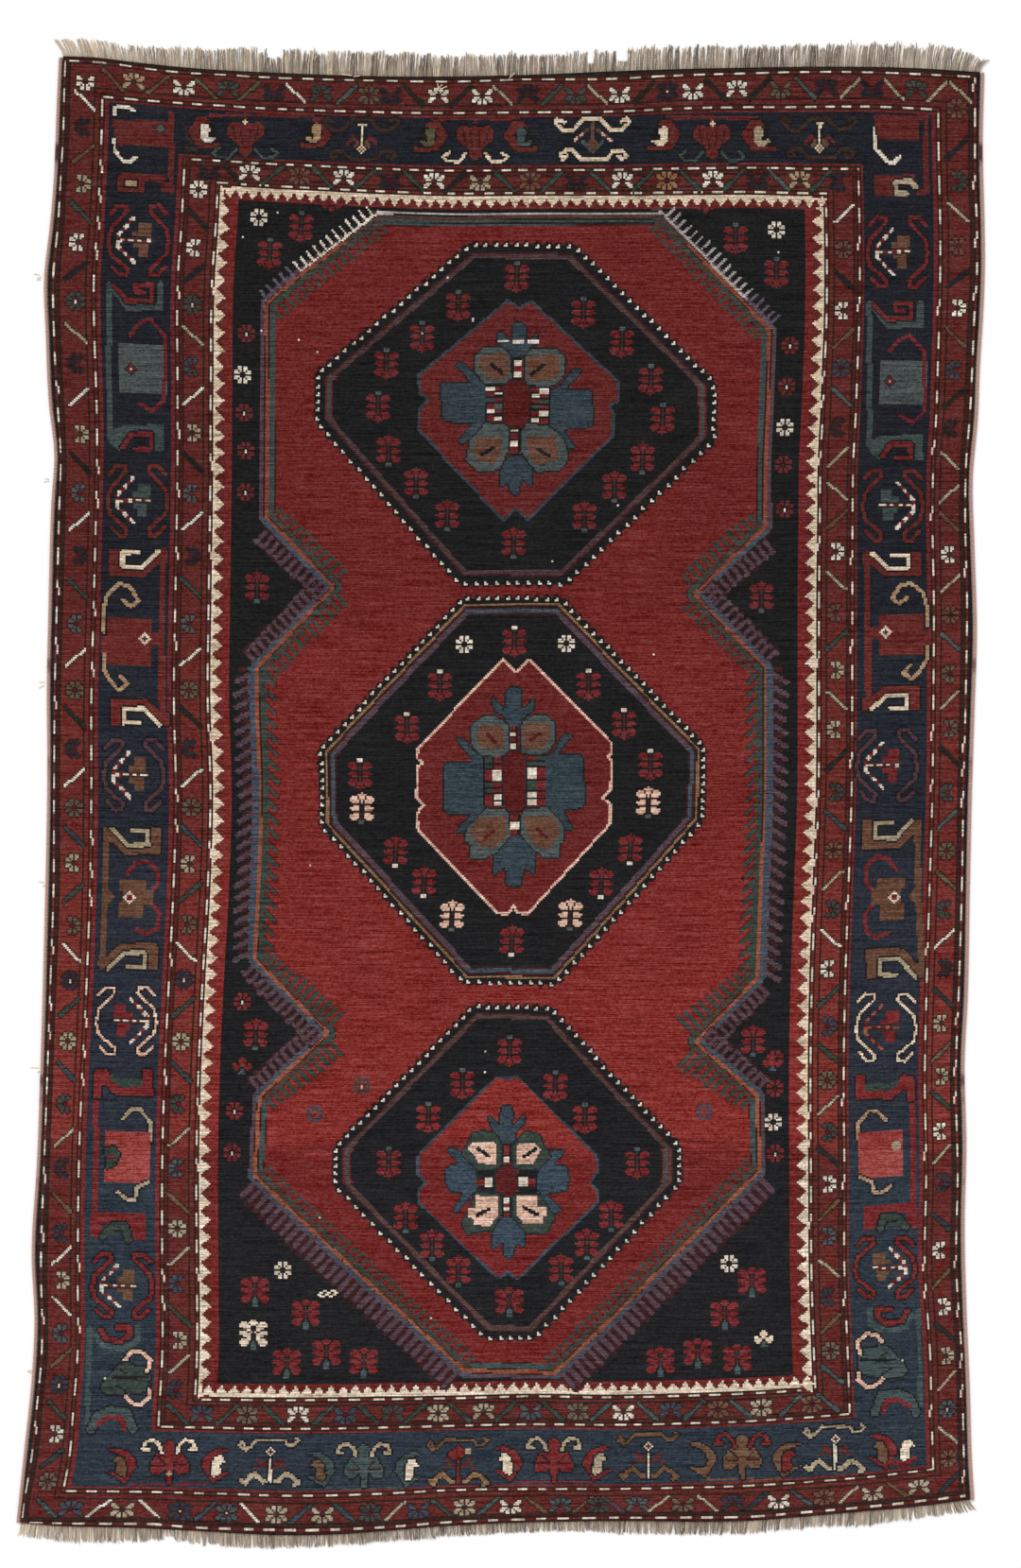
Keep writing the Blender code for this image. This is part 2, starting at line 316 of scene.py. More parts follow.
def stamp(rows, col, row, yarns, turns=0, outline=None):
    """A small charted motif, centred on a knot.

    Each letter that yarns names is knotted, and any other is left as it was.
    """
    letters = np.rot90(np.array([list(line) for line in rows.split()]), turns)
    height, width = letters.shape
    left, top = max(round(col - width / 2), 0), max(round(row - height / 2), 0)
    part = knots[top : top + height, left : left + width]
    letters = letters[: part.shape[0], : part.shape[1]]
    motif = np.zeros(knots.shape, bool)
    motif[top : top + height, left : left + width] = np.isin(letters, list(yarns))
    if outline:
        put(motif, "night", outline)
    for letter, yarn in yarns.items():
        part[letters == letter] = YARN[yarn]


def pairs(places):
    """The places of a flat list, across and down."""
    return zip(places[::2], places[1::2])


class Paper:
    """Squared paper laid over part of the floor, on which motifs are drawn.

    left and top are the floor square of its corner. scale is its lines to a square, across
    and then down where they differ, and a scale below nought turns the paper over.
    """

    def __init__(self, left=0.0, top=0.0, scale=1.0, tall=None):
        self.left, self.top, self.scale, self.tall = left, top, scale, tall or scale

    def on_chart(self, places):
        """Places on the paper, across and down by turns, as points on the chart."""
        return [
            cloth.knot(self.left + across / self.scale, self.top + down / self.tall)
            for across, down in pairs(places)
        ]

    def line(self, places, yarn, thick=2.0, outline=None):
        """A line through places, its thickness in knots."""
        put(reach(self.on_chart(places), thick), yarn, outline)

    def shape(self, places, yarn, outline=None):
        """A filled shape."""
        put(inside(self.on_chart(places)), yarn, outline)

    def box(self, left, top, right, bottom, yarn):
        """A rectangle."""
        col, row = self.on_chart(((left + right) / 2, (top + bottom) / 2))[0]
        half_width = abs((right - left) / self.scale) / SQUARES_TO_A_KNOT / 2
        half_height = abs((bottom - top) / self.tall) / SQUARES_TO_A_KNOT / 2
        fill(col - half_width, row - half_height, col + half_width, row + half_height, yarn)

    def dashes(self, places, yarns, thick=1.8, pitch=2.4):
        """A line of short stretches in two yarns by turns."""
        for turn, (col, row, dc, dr) in enumerate(stations(self.on_chart(places), pitch)):
            dc, dr = dc * pitch * 0.42, dr * pitch * 0.42
            put(reach([(col - dc, row - dr), (col + dc, row + dr)], thick), yarns[turn % 2])

    def stamp(self, rows, across, down, yarns, turns=0, outline=None):
        """A small charted motif, centred on a place."""
        col, row = self.on_chart((across, down))[0]
        stamp(rows, col, row, yarns, turns, outline)

    def draw(self, strokes, **yarns):
        """Strokes in turn, each its kind, yarn and places, with the yarns named here.

        A twin stroke is drawn on both sides of the paper's corner.
        """
        for kind, yarn, places, *more in strokes:
            yarn = yarns.get(yarn, yarn)
            if kind.startswith("twin "):
                over = Paper(self.left, self.top, -self.scale, self.tall)
                kind = kind.removeprefix("twin ")
                over.draw([(kind, yarn, places, *more)], **yarns)
            if kind == "line":
                self.line(places, yarn, *more)
            elif kind == "shape":
                self.shape(places, yarn, *more)
            elif kind == "box":
                self.box(*places, yarn)
            else:
                other, *more = more
                self.dashes(places, (yarn, yarns.get(other, other)), *more)


floor_paper = Paper()


# Borders

# Bands from the edge inwards, as nested rectangles: left, top, right, bottom, yarn
BANDS = (
    (0, 0, 496, 776, "night"), (1, 1, 495, 775, "dark_brown"), (4, 3, 492, 773, "maroon"),
    (5, 4, 491, 772, "dark_brown"), (6, 5, 490, 771, "border_red"),
    (18, 16, 480, 761, "dark_brown"), (19, 17, 479, 760, "border_red"),
    (21, 19, 477, 758, "dark_brown"), (24, 22, 474, 755, "crimson"), (26, 23, 472, 754, "navy"),
    (63, 48, 434, 724, "crimson"), (65, 49, 433, 723, "dark_brown"), (68, 52, 430, 720, "dark_red"),
    (69, 53, 429, 719, "dark_brown"), (70, 54, 428, 718, "border_red"),
    (80, 59, 418, 710, "dark_brown"), (81, 60, 417, 709, "border_red"),
    (83, 61, 415, 708, "dark_brown"), (86, 64, 412, 705, "ivory"), (91, 69, 407, 700, "field_red"),
    (96, 71, 402, 698, "night"),
)

# Rows of dashes: left, top, right, bottom, then dash and gap up the sides and along the ends
DASHES = (
    (2, 3, 494, 775, (8, 7), (6, 6)), (22, 20, 476, 757, (8, 7.5), (5.5, 5.5)),
    (66, 50, 432, 722, (7.5, 7.5), (5, 5)), (84, 62, 414, 707, (8, 7), (5.5, 5.5)),
)


def draw_bands():
    """The grounds and guard lines of the borders."""
    for left, top, right, bottom, yarn in BANDS:
        fill(left, top, right, bottom, yarn)
    fill(1, 774, 495, 776, "maroon")


def dash_spans(length, dash, gap):
    """Starts and ends of dashes over a length, as uneven as a hand leaves them."""
    place = chance.uniform(0.0, gap)
    while place < length:
        end = place + dash * chance.uniform(0.85, 1.15)
        yield round(place), round(min(end, length))
        place = end + gap * chance.uniform(0.8, 1.25)


def draw_dashes():
    """The white dashes on the guard lines, some with a step in the middle."""
    white = YARN["white"]
    for left, top, right, bottom, side, end in DASHES:
        for col in (left, right - 1):
            knots[top:bottom, col] = YARN["border_red"]
            for first, last in dash_spans(bottom - top, *side):
                half = (first + last) // 2
                step = int(chance.choice((0, 0, 0, 1))) * (1 if col == left else -1)
                knots[top + first : top + half, col] = white
                knots[top + half : top + last, col + step] = white
        for row in (top, bottom - 1):
            knots[row, left:right] = YARN["border_red"]
            for first, last in dash_spans(right - left, *end):
                knots[row, left + first : left + last] = white


def draw_teeth():
    """The ivory teeth that point into the field's red edge."""
    for chart, first, last, way, place, end, size, steps in (
        (knots.T, 86, 91, 1, 64.0, 705, 9.2, 6),
        (knots.T, 407, 412, -1, 64.0, 705, 9.2, 6),
        (knots, 65, 69, 1, 88.0, 408, 6.5, 5),
        (knots, 700, 704, -1, 88.0, 408, 6.5, 5),
    ):
        while place < end:
            pitch = size * chance.uniform(0.92, 1.08)
            for step in range(steps):
                half = pitch / 2 * (1 - step / (steps - 0.4))
                line = first + step if way > 0 else last - 1 - step
                span = slice(round(place + pitch / 2 - half), round(place + pitch / 2 + half))
                chart[line, round(place) : round(place + pitch)] = YARN["border_red"]
                chart[line, span] = YARN["ivory"]
            place += pitch


# The field

# The panel's outline, along the middle of its rust stripe
PANEL = (401, 229.5, 699, 229.5, 814, 350, 809, 558, 735, 629, 809, 706, 808, 870, 801, 1035, 736,
    1102, 801, 1159, 803, 1239, 587, 1452, 491, 1450, 270, 1244, 275, 1160, 347, 1093, 270, 1015,
    272, 707, 353, 621, 282, 548, 283, 322, 306, 301)

# The octagons' outlines, along their white dots
OCTAGONS = (
    (497, 260, 607, 261, 755, 405, 755, 467, 598, 618, 487, 618, 336, 447, 336, 396),
    (490, 634, 594, 634, 744, 790, 742, 868, 588, 1041, 491, 1039, 341, 874, 339, 794),
    (501, 1065, 583, 1067, 718, 1212, 718, 1252, 566, 1415, 514, 1415, 355, 1254, 355, 1214),
)

# Stripes inside each octagon: from and to, in knots inwards, and yarn
OCTAGON_STRIPES = (
    ((3.8, 4.8, "maroon"), (4.8, 7.2, "plum")),
    ((2.3, 3.6, "gold"), (4.2, 5.0, "maroon"), (5.0, 7.8, "mauve")),
    ((3.2, 4.0, "maroon"), (4.0, 6.4, "brown_plum")),
)

# Pitch of the white dots along each edge of an octagon, in knots
DOT_PITCHES = (5.5, 5.6, 4.3, 6.2, 5.5, 6.2, 4.3, 5.5)

CARNATION = """
.....sss.....
.....sss.....
.rrr..m..rrr.
rrrrr.m.rrrrr
rrrrr.m.rrrrr
..rrrdmdrrr..
......m......
.rrrr.m.rrrr.
rrrrr.m.rrrrr
..rrrdmdrrr..
......m......
.rrrr.r.rrrr.
rrrrrdrdrrrrr
rrrrdrrrdrrrr
.rrr.rrr.rrr.
....rrrrr....
......r......
"""

# The carnations of the near corners are broader
LOW_CARNATION = """
......sss......
......sss......
.rrr..sss..rrr.
rrrrr.sss.rrrrr
rrrrr..s..rrrrr
.rrrrr.m.rrrrr.
ddddrrdmdrrdddd
..rrrrdmdrrrr..
rrrrrrdmdrrrrrr
rrrrddrmrddrrrr
ddddrr.m.rrdddd
..rrrr.m.rrrr..
rrrrrr.m.rrrrrr
rrrrr.rrr.rrrrr
.rrr.rrrrr.rrr.
......rrr......
"""

TREFOIL = """
....rr....
...rrrr...
...rrrr...
rr..rr..rr
rrrrddrrrr
rrrr..rrrr
.rr.ss.rr.
....ss....
...ssss...
"""
SCROLLS = """
...rr..rrr.
.rr..rr..rr
rr..rr..rr.
.rrr..rr...
"""

ROSETTE = """
..bb.bb..
..bb.bb..
aa.b.b.cc
aaa...ccc
....k....
eee.k.ggg
ee.d.d.gg
..dd.dd..
..dd.dd..
"""

# The wider rosette of the borders at the two ends
WIDE_ROSETTE = """
...bb.bb...
aa.bb.bb.cc
aaa.b.b.ccc
.aaa...ccc.
.....k.....
.eee...ggg.
eee.d.d.ggg
ee.dd.dd.gg
...dd.dd...
"""

# What shows of a carnation that the end of the field cuts off
PART_CARNATION = "rrrr...rrrr .rr.rrr.rr. ....rrr.... .....r....."

RED_CARNATION = {"r": "crimson", "m": "dusk", "d": "maroon"}

# Carnations of the field: quarter turns, then across and down of each
CARNATIONS = (
    (0, (547, 294, 484, 325, 618, 332, 446, 358, 658, 363, 408, 385, 688, 403, 401, 432, 700, 444,
        544, 680, 466, 726, 622, 724, 431, 771, 660, 766, 382, 820, 688, 810, 539, 1112, 489, 1146,
        587, 1150, 454, 1183, 619, 1184, 411, 1230, 673, 1230, 319, 240, 285, 270, 777, 253, 822,
        290)),
    (2, (411, 477, 679, 485, 441, 511, 650, 515, 474, 546, 619, 547, 543, 575, 418, 901, 667, 898,
        448, 934, 636, 934, 542, 996, 430, 1288, 647, 1287, 457, 1318, 620, 1315, 485, 1345, 594,
        1343, 538, 1377, 272, 622, 805, 632, 270, 1094, 797, 1101, 270, 1366, 324, 1391, 303, 1442,
        345, 1433, 385, 1441, 796, 1356, 766, 1391, 738, 1431, 698, 1440, 780, 1438)),
)

# Rosettes of the field: petals, heart, then across and down of each
FIELD_ROSETTES = (
    ("white", "dark_brown", (274, 230, 822, 243, 257, 397, 830, 452, 491, 682, 599, 682, 818, 1187,
        299, 1343, 771, 1337)),
    ("crimson", "white", (261, 354, 836, 367, 258, 437, 260, 478, 260, 521, 832, 410, 829, 539, 257,
        1060, 248, 1176, 246, 1220, 819, 1221)),
    ("crimson", "dark_red", (829, 492, 820, 1120, 820, 1151)),
    ("green", "white", (383, 1148)),
    ("blue", "dark_red", (333, 1178)),
    ("blue", "purple", (744, 1176)),
)


def depth_inside(points):
    """How far inside an outline each knot is, in knots, and how far outside below nought."""
    gaps = [apart(*ends, col_middles, row_middles) for ends in zip(points, points[1:] + points[:1])]
    gap = np.min(gaps, axis=0)
    return np.where(inside(points), gap, -gap)


def stations(points, pitch):
    """Places every pitch along a line on the chart, each with its direction."""
    for (c0, r0), (c1, r1) in zip(points, points[1:]):
        length = math.hypot(c1 - c0, r1 - r0)
        count = max(1, round(length / pitch))
        for share in (np.arange(count) + 0.5) / count:
            col, row = c0 + (c1 - c0) * share, r0 + (r1 - r0) * share
            yield col, row, (c1 - c0) / length, (r1 - r0) / length


def draw_panel():
    """The red panel, with its stripes of mauve, rust and sea green."""
    depth = depth_inside(floor_paper.on_chart(PANEL))
    put(depth > -3.6, "mauve")
    put(depth > -1.5, "maroon")
    put(depth > -1.0, "rust")
    put(depth > 0.9, "dark_brown")
    put(depth > 1.5, "sea")
    put(depth > 4.2, "maroon")
    put(depth > 4.8, "field_red")
    far = (row_middles < 90) & (row_middles > 70)
    put(far & (depth > -3.4) & (depth < -1.1), "night")
    put(far & (depth > -2.4) & (depth < -1.3), "grey")
    put(far & (depth >= -1.1) & (depth < 1.0), "brown_plum")
    put(far & (depth >= 2.8) & (depth < 3.6), "charcoal")


def draw_hooks(places, pitch, start, length, yarn, lean=0.0, thick=1.6, head=1, last=None):
    """Latch hooks along a line, to its left as it is walked, each with a barb at its end.

    length is that of the first hook, and last that of the last where they differ.
    """
    roots = list(stations(floor_paper.on_chart(places), pitch))
    lengths = np.linspace(length, last or length, len(roots))
    for (col, row, dc, dr), length in zip(roots, lengths):
        out_c, out_r = dr, -dc
        way_c, way_r = out_c + lean * dc, out_r + lean * dr
        size = math.hypot(way_c, way_r)
        way_c, way_r = way_c / size, way_r / size
        base = (col + out_c * start, row + out_r * start)
        size = length * chance.uniform(0.88, 1.08)
        tip = (base[0] + way_c * size, base[1] + way_r * size)
        put(reach([base, tip], thick), yarn)
        if head:
            barb = (tip[0] + dc * 1.6 * head, tip[1] + dr * 1.6 * head)
            put(reach([tip, barb], thick), yarn)


def draw_octagon(number):
    """A black octagon with its stripes and white dots."""
    points = floor_paper.on_chart(OCTAGONS[number])
    depth = depth_inside(points)
    put(depth > -0.6, "night")
    for first, last, yarn in OCTAGON_STRIPES[number]:
        put((depth > first) & (depth <= last), yarn)
    flats, edging, core = ((2, 3), (6, 7)), "crimson", "sea"
    if number == 1:
        flats, edging, core = ((0, 1), (2, 3), (4, 5), (6, 7)), "maroon", "slate"
    for first, last in flats:
        ends = (points[first], points[last])
        level = abs(ends[0][1] - ends[1][1]) < 4
        along, across = (col_middles, row_middles) if level else (row_middles, col_middles)
        sides = sorted(end[0 if level else 1] for end in ends)
        strip = (along > sides[0] + 1) & (along < sides[1] - 1)
        strip &= np.abs(across - ends[0][1 if level else 0]) < 12
        put(strip & (depth > 4.4) & (depth <= 8.4), edging)
        put(strip & (depth > 5.4) & (depth <= 7.4), core)
    middle_row = (points[0][1] + points[4][1]) / 2
    edges = zip(points, points[1:] + points[:1], DOT_PITCHES)
    dots = [dot for first, last, pitch in edges for dot in stations([first, last], pitch)]
    for col, row, _, _ in dots:
        put(reach([(col, row), (col, row)], 4.4) & (depth < 1.0), "night")
    for col, row, _, _ in dots:
        left, top = round(col - 1.0), round(row - 1.0)
        knots[top + 1, left : left + 2] = YARN["white"]
        knots[top, left + (1 if row < middle_row else 0)] = YARN["white"]


# Letters that the yarns go by in ladders and minor borders
LETTERS = {
    "w": "white", "n": "navy", "b": "brown", "s": "straw", "g": "green", "k": "night", "t": "teal",
    "o": "olive", "c": "charcoal", "l": "blue", "m": "camel", "d": "gold", "p": "purple",
    "r": "crimson",
}

# The flowers of the octagons, each on paper of its own. A ladder is the left and right of its
# columns, then the top and bottom of each row and a yarn's letter for each column. Each leaf
# has a heart and a mark, the line on it.
FLOWERS = (
    {
        "paper": (430, 310, 6.4),
        "ground": "wine",
        "rim": ("blue", 1.7),
        "hexagon": (685, 55, 765, 105, 845, 60, 1430, 600, 1435, 725, 1375, 772, 1400, 815, 1395,
            975, 820, 1540, 740, 1465, 655, 1540, 85, 930, 85, 785, 155, 727, 85, 675, 85, 555),
        "petals": (
            (230, 620, 445, 620, 335, 485, 390, 480, 510, 600, 535, 640, 535, 880, 480, 960, 375,
                1020, 350, 1010, 450, 885, 250, 870),
            (975, 670, 1040, 640, 1130, 520, 1190, 525, 1070, 660, 1255, 670, 1260, 905, 1060, 925,
                1140, 1050, 1060, 1050, 975, 925),
            (650, 270, 690, 325, 718, 325, 718, 230, 740, 208, 785, 208, 805, 230, 805, 325, 830,
                325, 885, 275, 890, 345, 845, 365, 805, 440, 715, 440, 690, 390, 620, 345, 620,
                270),
            (700, 1110, 775, 1110, 845, 1180, 845, 1310, 790, 1270, 768, 1290, 765, 1350, 735, 1372,
                705, 1350, 700, 1290, 640, 1310, 632, 1170),
        ),
        "leaf_yarns": ("teal", "brown", "night"),
        "leaves": (
            (530, 370, 650, 370, 705, 430, 710, 590, 680, 610, 530, 610, 465, 540, 460, 430),
            (800, 430, 860, 380, 1010, 380, 1070, 440, 1075, 540, 1030, 610, 960, 640, 800, 620),
            (530, 885, 690, 890, 690, 1060, 630, 1200, 480, 1210, 405, 1130, 430, 1000, 500, 930),
            (780, 890, 950, 900, 1060, 980, 1090, 1080, 1080, 1160, 1030, 1205, 880, 1215, 780,
                1080),
        ),
        "hearts": (
            (510, 420, 665, 415, 690, 450, 690, 580, 560, 585, 495, 520, 490, 450),
            (820, 430, 1025, 425, 1050, 520, 1005, 590, 900, 600, 820, 590),
            (470, 985, 640, 985, 645, 1060, 600, 1160, 480, 1140, 455, 1060),
            (815, 980, 1000, 970, 1025, 1060, 1020, 1130, 950, 1150, 850, 1150, 820, 1060),
        ),
        "marks": (
            (575, 485, 645, 545), (925, 495, 845, 555), (590, 1050, 515, 1095),
            (895, 1065, 970, 1110),
        ),
        "grounds": (
            (535, 632, 655, 870), (838, 640, 970, 875), (720, 440, 780, 600), (700, 915, 765, 1100),
        ),
        "ladders": (
            (
                (540, 595, 597, 650), (635, 665, "wr"), (715, 745, "lr"), (757, 785, "rt"),
                (795, 822, "wr"), (835, 865, "rw"),
            ),
            ((540, 595), (675, 700, "r")),
            ((597, 650), (677, 695, "w")),
            ((842, 900), (645, 675, "r"), (687, 707, "w")),
            ((903, 965), (652, 685, "w"), (690, 712, "r")),
            (
                (842, 900, 903, 965), (725, 752, "rg"), (765, 792, "gr"), (803, 838, "rw"),
                (848, 872, "wr"),
            ),
            ((725, 778), (455, 492, "w"), (500, 532, "r")),
            ((722, 772), (540, 580, "w")),
            ((706, 757), (925, 945, "w"), (950, 995, "r"), (1043, 1092, "r")),
            ((708, 755), (1003, 1036, "w")),
            ((618, 690, 720, 790, 825, 890), (322, 340, "www")),
        ),
        "bead": (700, 598, 790, 598, 832, 650, 832, 860, 780, 918, 710, 918, 658, 870, 655, 645),
    },
    {
        "paper": (435, 690, 5.5),
        "ground": "wine",
        "rim": ("pink", 1.7),
        "hexagon": (530, 45, 610, 115, 690, 45, 1160, 525, 1165, 585, 1145, 605, 1165, 640, 1160,
            800, 1115, 850, 1160, 890, 1155, 1000, 680, 1520, 620, 1518, 595, 1475, 565, 1522, 500,
            1520, 40, 1030, 35, 940, 72, 890, 30, 850, 40, 665, 68, 645, 35, 620, 40, 565),
        "petals": (
            (480, 265, 535, 335, 552, 320, 552, 230, 575, 205, 620, 205, 640, 230, 640, 330, 660,
                330, 715, 265, 710, 335, 665, 370, 640, 430, 570, 430, 540, 370, 490, 345, 470,
                285),
            (200, 645, 370, 640, 255, 500, 300, 505, 375, 590, 420, 620, 430, 900, 400, 940, 300,
                1045, 262, 1045, 350, 940, 210, 940, 190, 900, 190, 680),
            (785, 610, 830, 590, 885, 480, 940, 480, 850, 595, 995, 605, 1010, 880, 990, 905, 880,
                920, 940, 1035, 900, 1035, 785, 910),
            (580, 1070, 640, 1070, 720, 1160, 715, 1290, 650, 1255, 640, 1350, 600, 1368, 555, 1350,
                548, 1250, 475, 1300, 480, 1150),
        ),
        "leaf_yarns": ("teal", "brown", "dark_red"),
        "leaves": (
            (420, 375, 500, 375, 560, 430, 575, 590, 500, 610, 410, 600, 345, 530, 345, 430),
            (660, 390, 720, 365, 780, 370, 835, 410, 835, 520, 800, 580, 720, 605, 640, 580, 640,
                430),
            (440, 910, 560, 920, 575, 1070, 500, 1160, 430, 1200, 345, 1205, 340, 1110, 315, 1100,
                325, 1030, 400, 950),
            (660, 910, 790, 905, 880, 1000, 890, 1100, 860, 1110, 855, 1200, 770, 1195, 680, 1120,
                640, 1060, 640, 960),
        ),
        "hearts": (
            (400, 425, 520, 420, 540, 460, 540, 550, 470, 570, 400, 550, 380, 500),
            (650, 420, 800, 410, 815, 500, 770, 560, 650, 560),
            (390, 965, 555, 960, 550, 1070, 480, 1140, 400, 1130, 335, 1050),
            (660, 960, 825, 960, 870, 1040, 850, 1080, 800, 1150, 720, 1130, 670, 1050),
        ),
        "marks": (
            (440, 480, 490, 520), (750, 475, 690, 515), (480, 1040, 430, 1085),
            (730, 1030, 790, 1080),
        ),
        "grounds": (
            (423, 610, 532, 895), (675, 602, 784, 887), (573, 433, 614, 562), (573, 943, 627, 1062),
        ),
        "ladders": (
            (
                (425, 475, 477, 530), (612, 645, "gr"), (650, 682, "gr"), (688, 715, "rw"),
                (722, 750, "rw"), (762, 788, "gr"), (795, 820, "gr"), (832, 857, "rw"),
                (867, 893, "rw"),
            ),
            (
                (677, 727, 730, 782), (605, 632, "rg"), (673, 705, "wr"), (710, 742, "wr"),
                (752, 777, "gr"), (782, 807, "gr"), (815, 842, "wr"), (855, 885, "wr"),
            ),
            ((575, 612), (435, 460, "r"), (466, 491, "w"), (497, 522, "r"), (528, 560, "w")),
            ((677, 782), (640, 665, "g")),
            ((578, 622), (947, 980, "r"), (1036, 1060, "r")),
            ((578, 625), (986, 1030, "w")),
        ),
        "bead": (570, 575, 630, 575, 665, 620, 670, 850, 655, 920, 600, 945, 560, 915, 540, 850,
            535, 630),
    },
    {
        "paper": (430, 1135, 6.817),
        "ground": "field_red",
        "rim": ("blue", 1.6),
        "hexagon": (650, 28, 735, 40, 800, 25, 1370, 600, 1385, 700, 1328, 790, 1385, 860, 1380,
            935, 800, 1490, 735, 1435, 670, 1475, 600, 1430, 85, 930, 85, 850, 145, 790, 80, 730,
            80, 610, 115, 560),
        "petals": (
            (690, 235, 750, 235, 765, 290, 760, 380, 850, 305, 845, 370, 790, 420, 780, 500, 700,
                515, 640, 480, 620, 400, 585, 320, 600, 310, 660, 370, 680, 370, 680, 290),
            (290, 690, 330, 665, 385, 655, 290, 550, 340, 545, 430, 590, 500, 700, 510, 840, 450,
                900, 370, 1000, 335, 1000, 410, 880, 400, 855, 310, 850, 280, 780),
            (960, 680, 1030, 560, 1140, 560, 1060, 660, 1150, 680, 1170, 760, 1150, 850, 1040, 855,
                1010, 880, 1130, 1000, 1040, 1000, 950, 900, 920, 830),
            (700, 1040, 740, 1040, 840, 1100, 850, 1250, 780, 1230, 770, 1320, 740, 1330, 705, 1310,
                695, 1220, 620, 1270, 620, 1160, 660, 1080),
        ),
        "leaf_yarns": ("green", "pink", "night"),
        "leaves": (
            (550, 420, 640, 440, 690, 520, 690, 650, 640, 700, 520, 700, 450, 640, 400, 580, 440,
                520, 480, 440),
            (860, 420, 960, 450, 1000, 540, 1040, 600, 960, 680, 850, 700, 770, 680, 760, 540, 800,
                480),
            (500, 860, 690, 880, 690, 1000, 620, 1130, 440, 1160, 400, 1080, 450, 1000, 480, 920),
            (760, 880, 950, 860, 1010, 960, 1070, 1040, 1010, 1150, 860, 1150, 770, 1040),
        ),
        "hearts": (
            (480, 500, 640, 500, 645, 655, 515, 655, 495, 600, 440, 550),
            (800, 515, 930, 510, 970, 555, 940, 600, 920, 655, 800, 660),
            (500, 885, 655, 885, 655, 1040, 600, 1100, 480, 1100, 480, 1050, 450, 1040, 450, 975,
                500, 970),
            (790, 880, 945, 885, 950, 965, 1010, 970, 1010, 1030, 985, 1040, 980, 1090, 910, 1080,
                850, 1090, 795, 1020),
        ),
        "marks": (
            (515, 545, 595, 600), (930, 550, 845, 605), (590, 985, 510, 1025),
            (845, 970, 940, 1020),
        ),
        "grounds": (
            (692, 520, 750, 650), (692, 890, 750, 1035), (506, 700, 655, 868), (806, 700, 948, 868),
        ),
        "ladders": (
            ((700, 745), (528, 595, "r")),
            (
                (697, 745), (600, 645, "w"), (895, 940, "w"), (945, 965, "r"), (970, 998, "w"),
                (1002, 1030, "r"),
            ),
            ((505, 560), (765, 810, "r")),
            ((565, 625), (760, 818, "w")),
            ((812, 872), (755, 812, "w")),
            ((877, 930), (765, 810, "r")),
        ),
        "bead": (690, 670, 760, 670, 795, 730, 800, 830, 770, 880, 680, 880, 645, 830, 640, 730),
    },
)


def draw_flower(flower):
    """One octagon's hexagon, with its blue petals, leaves, ladders and bead."""
    paper = Paper(*flower["paper"])
    rim, width = flower["rim"]
    edge = paper.on_chart(flower["hexagon"])
    put(inside(edge), flower["ground"])
    put(reach(edge + edge[:1], width * 0.8), rim)
    for petal in flower["petals"]:
        paper.shape(petal, "blue", "charcoal")
    outer, inner, spot = flower["leaf_yarns"]
    for leaf, heart, mark in zip(flower["leaves"], flower["hearts"], flower["marks"]):
        paper.shape(leaf, outer, "charcoal")
        paper.shape(heart, inner)
        paper.line(mark, spot, 2.0)
    for ground in flower["grounds"]:
        paper.box(*ground, "night")
    for sides, *rows in flower["ladders"]:
        for top, bottom, letters in rows:
            for (left, right), letter in zip(pairs(sides), letters):
                paper.box(left, top, right, bottom, LETTERS[letter])
    paper.shape(flower["bead"], "dark_red", "charcoal")


# Latch hooks of the panel: the line they stand on, to whose left they point, then their pitch,
# start, length, yarn, lean, thickness and the turn of the barb, all in knots
OUTER_HOOKS = (
    ((318, 294, 401, 229.5), 4.35, 2.6, 6.2, "white", 0.0, 1.15, 0),
    ((283, 324, 318, 294), 4.35, 2.6, 6.0, "lavender", 0.0, 1.5, 0),
    ((699, 229.5, 786, 321), 4.35, 2.6, 6.2, "grey", 0.0, 1.25, 0),
    ((786, 321, 814, 350), 4.35, 2.6, 6.0, "lavender", 0.0, 1.5, 0),
)
PURPLE_HOOKS = (
    (808, 566, 735, 629), (735, 629, 809, 706), (801, 1035, 736, 1102), (736, 1102, 801, 1159),
    (275, 1160, 347, 1093), (347, 1093, 270, 1015), (272, 707, 353, 621), (353, 621, 282, 556),
)
SIDE_HOOKS = (((809, 706, 808, 870, 801, 1035), 0.6), ((270, 1015, 272, 707), -0.6))
GREEN_SIDES = (((272, 707, 270, 1015), 1.0), ((801, 1035, 808, 870, 809, 706), -1.0))
NEAR_HOOKS = ((803, 1239, 587, 1452), (491, 1450, 270, 1244))
# The green hooks inside the panel: the line they stand on, their length at its start and at its
# end, their thickness and the turn of the barb
GREEN_HOOKS = (
    ((401, 229.5, 283, 324), 6.0, 6.0, 1.4, 1), ((814, 350, 699, 229.5), 6.0, 6.0, 1.4, 1),
    ((735, 629, 809, 558), 9.4, 7.4, 1.7, 1), ((809, 706, 735, 629), 5.4, 6.4, 1.5, 1),
    ((736, 1102, 801, 1035), 12.6, 7.0, 2.1, 0), ((801, 1159, 736, 1102), 7.4, 13.4, 2.1, 0),
    ((587, 1452, 803, 1239), 6.0, 6.2, 1.5, 1), ((270, 1244, 491, 1450), 6.0, 6.0, 1.5, 1),
    ((347, 1093, 275, 1160), 10.6, 7.4, 2.1, 0), ((270, 1015, 347, 1093), 5.2, 10.2, 2.1, 0),
    ((353, 621, 272, 707), 8.2, 7.4, 1.7, 1), ((282, 548, 353, 621), 5.8, 7.8, 1.6, 1),
)

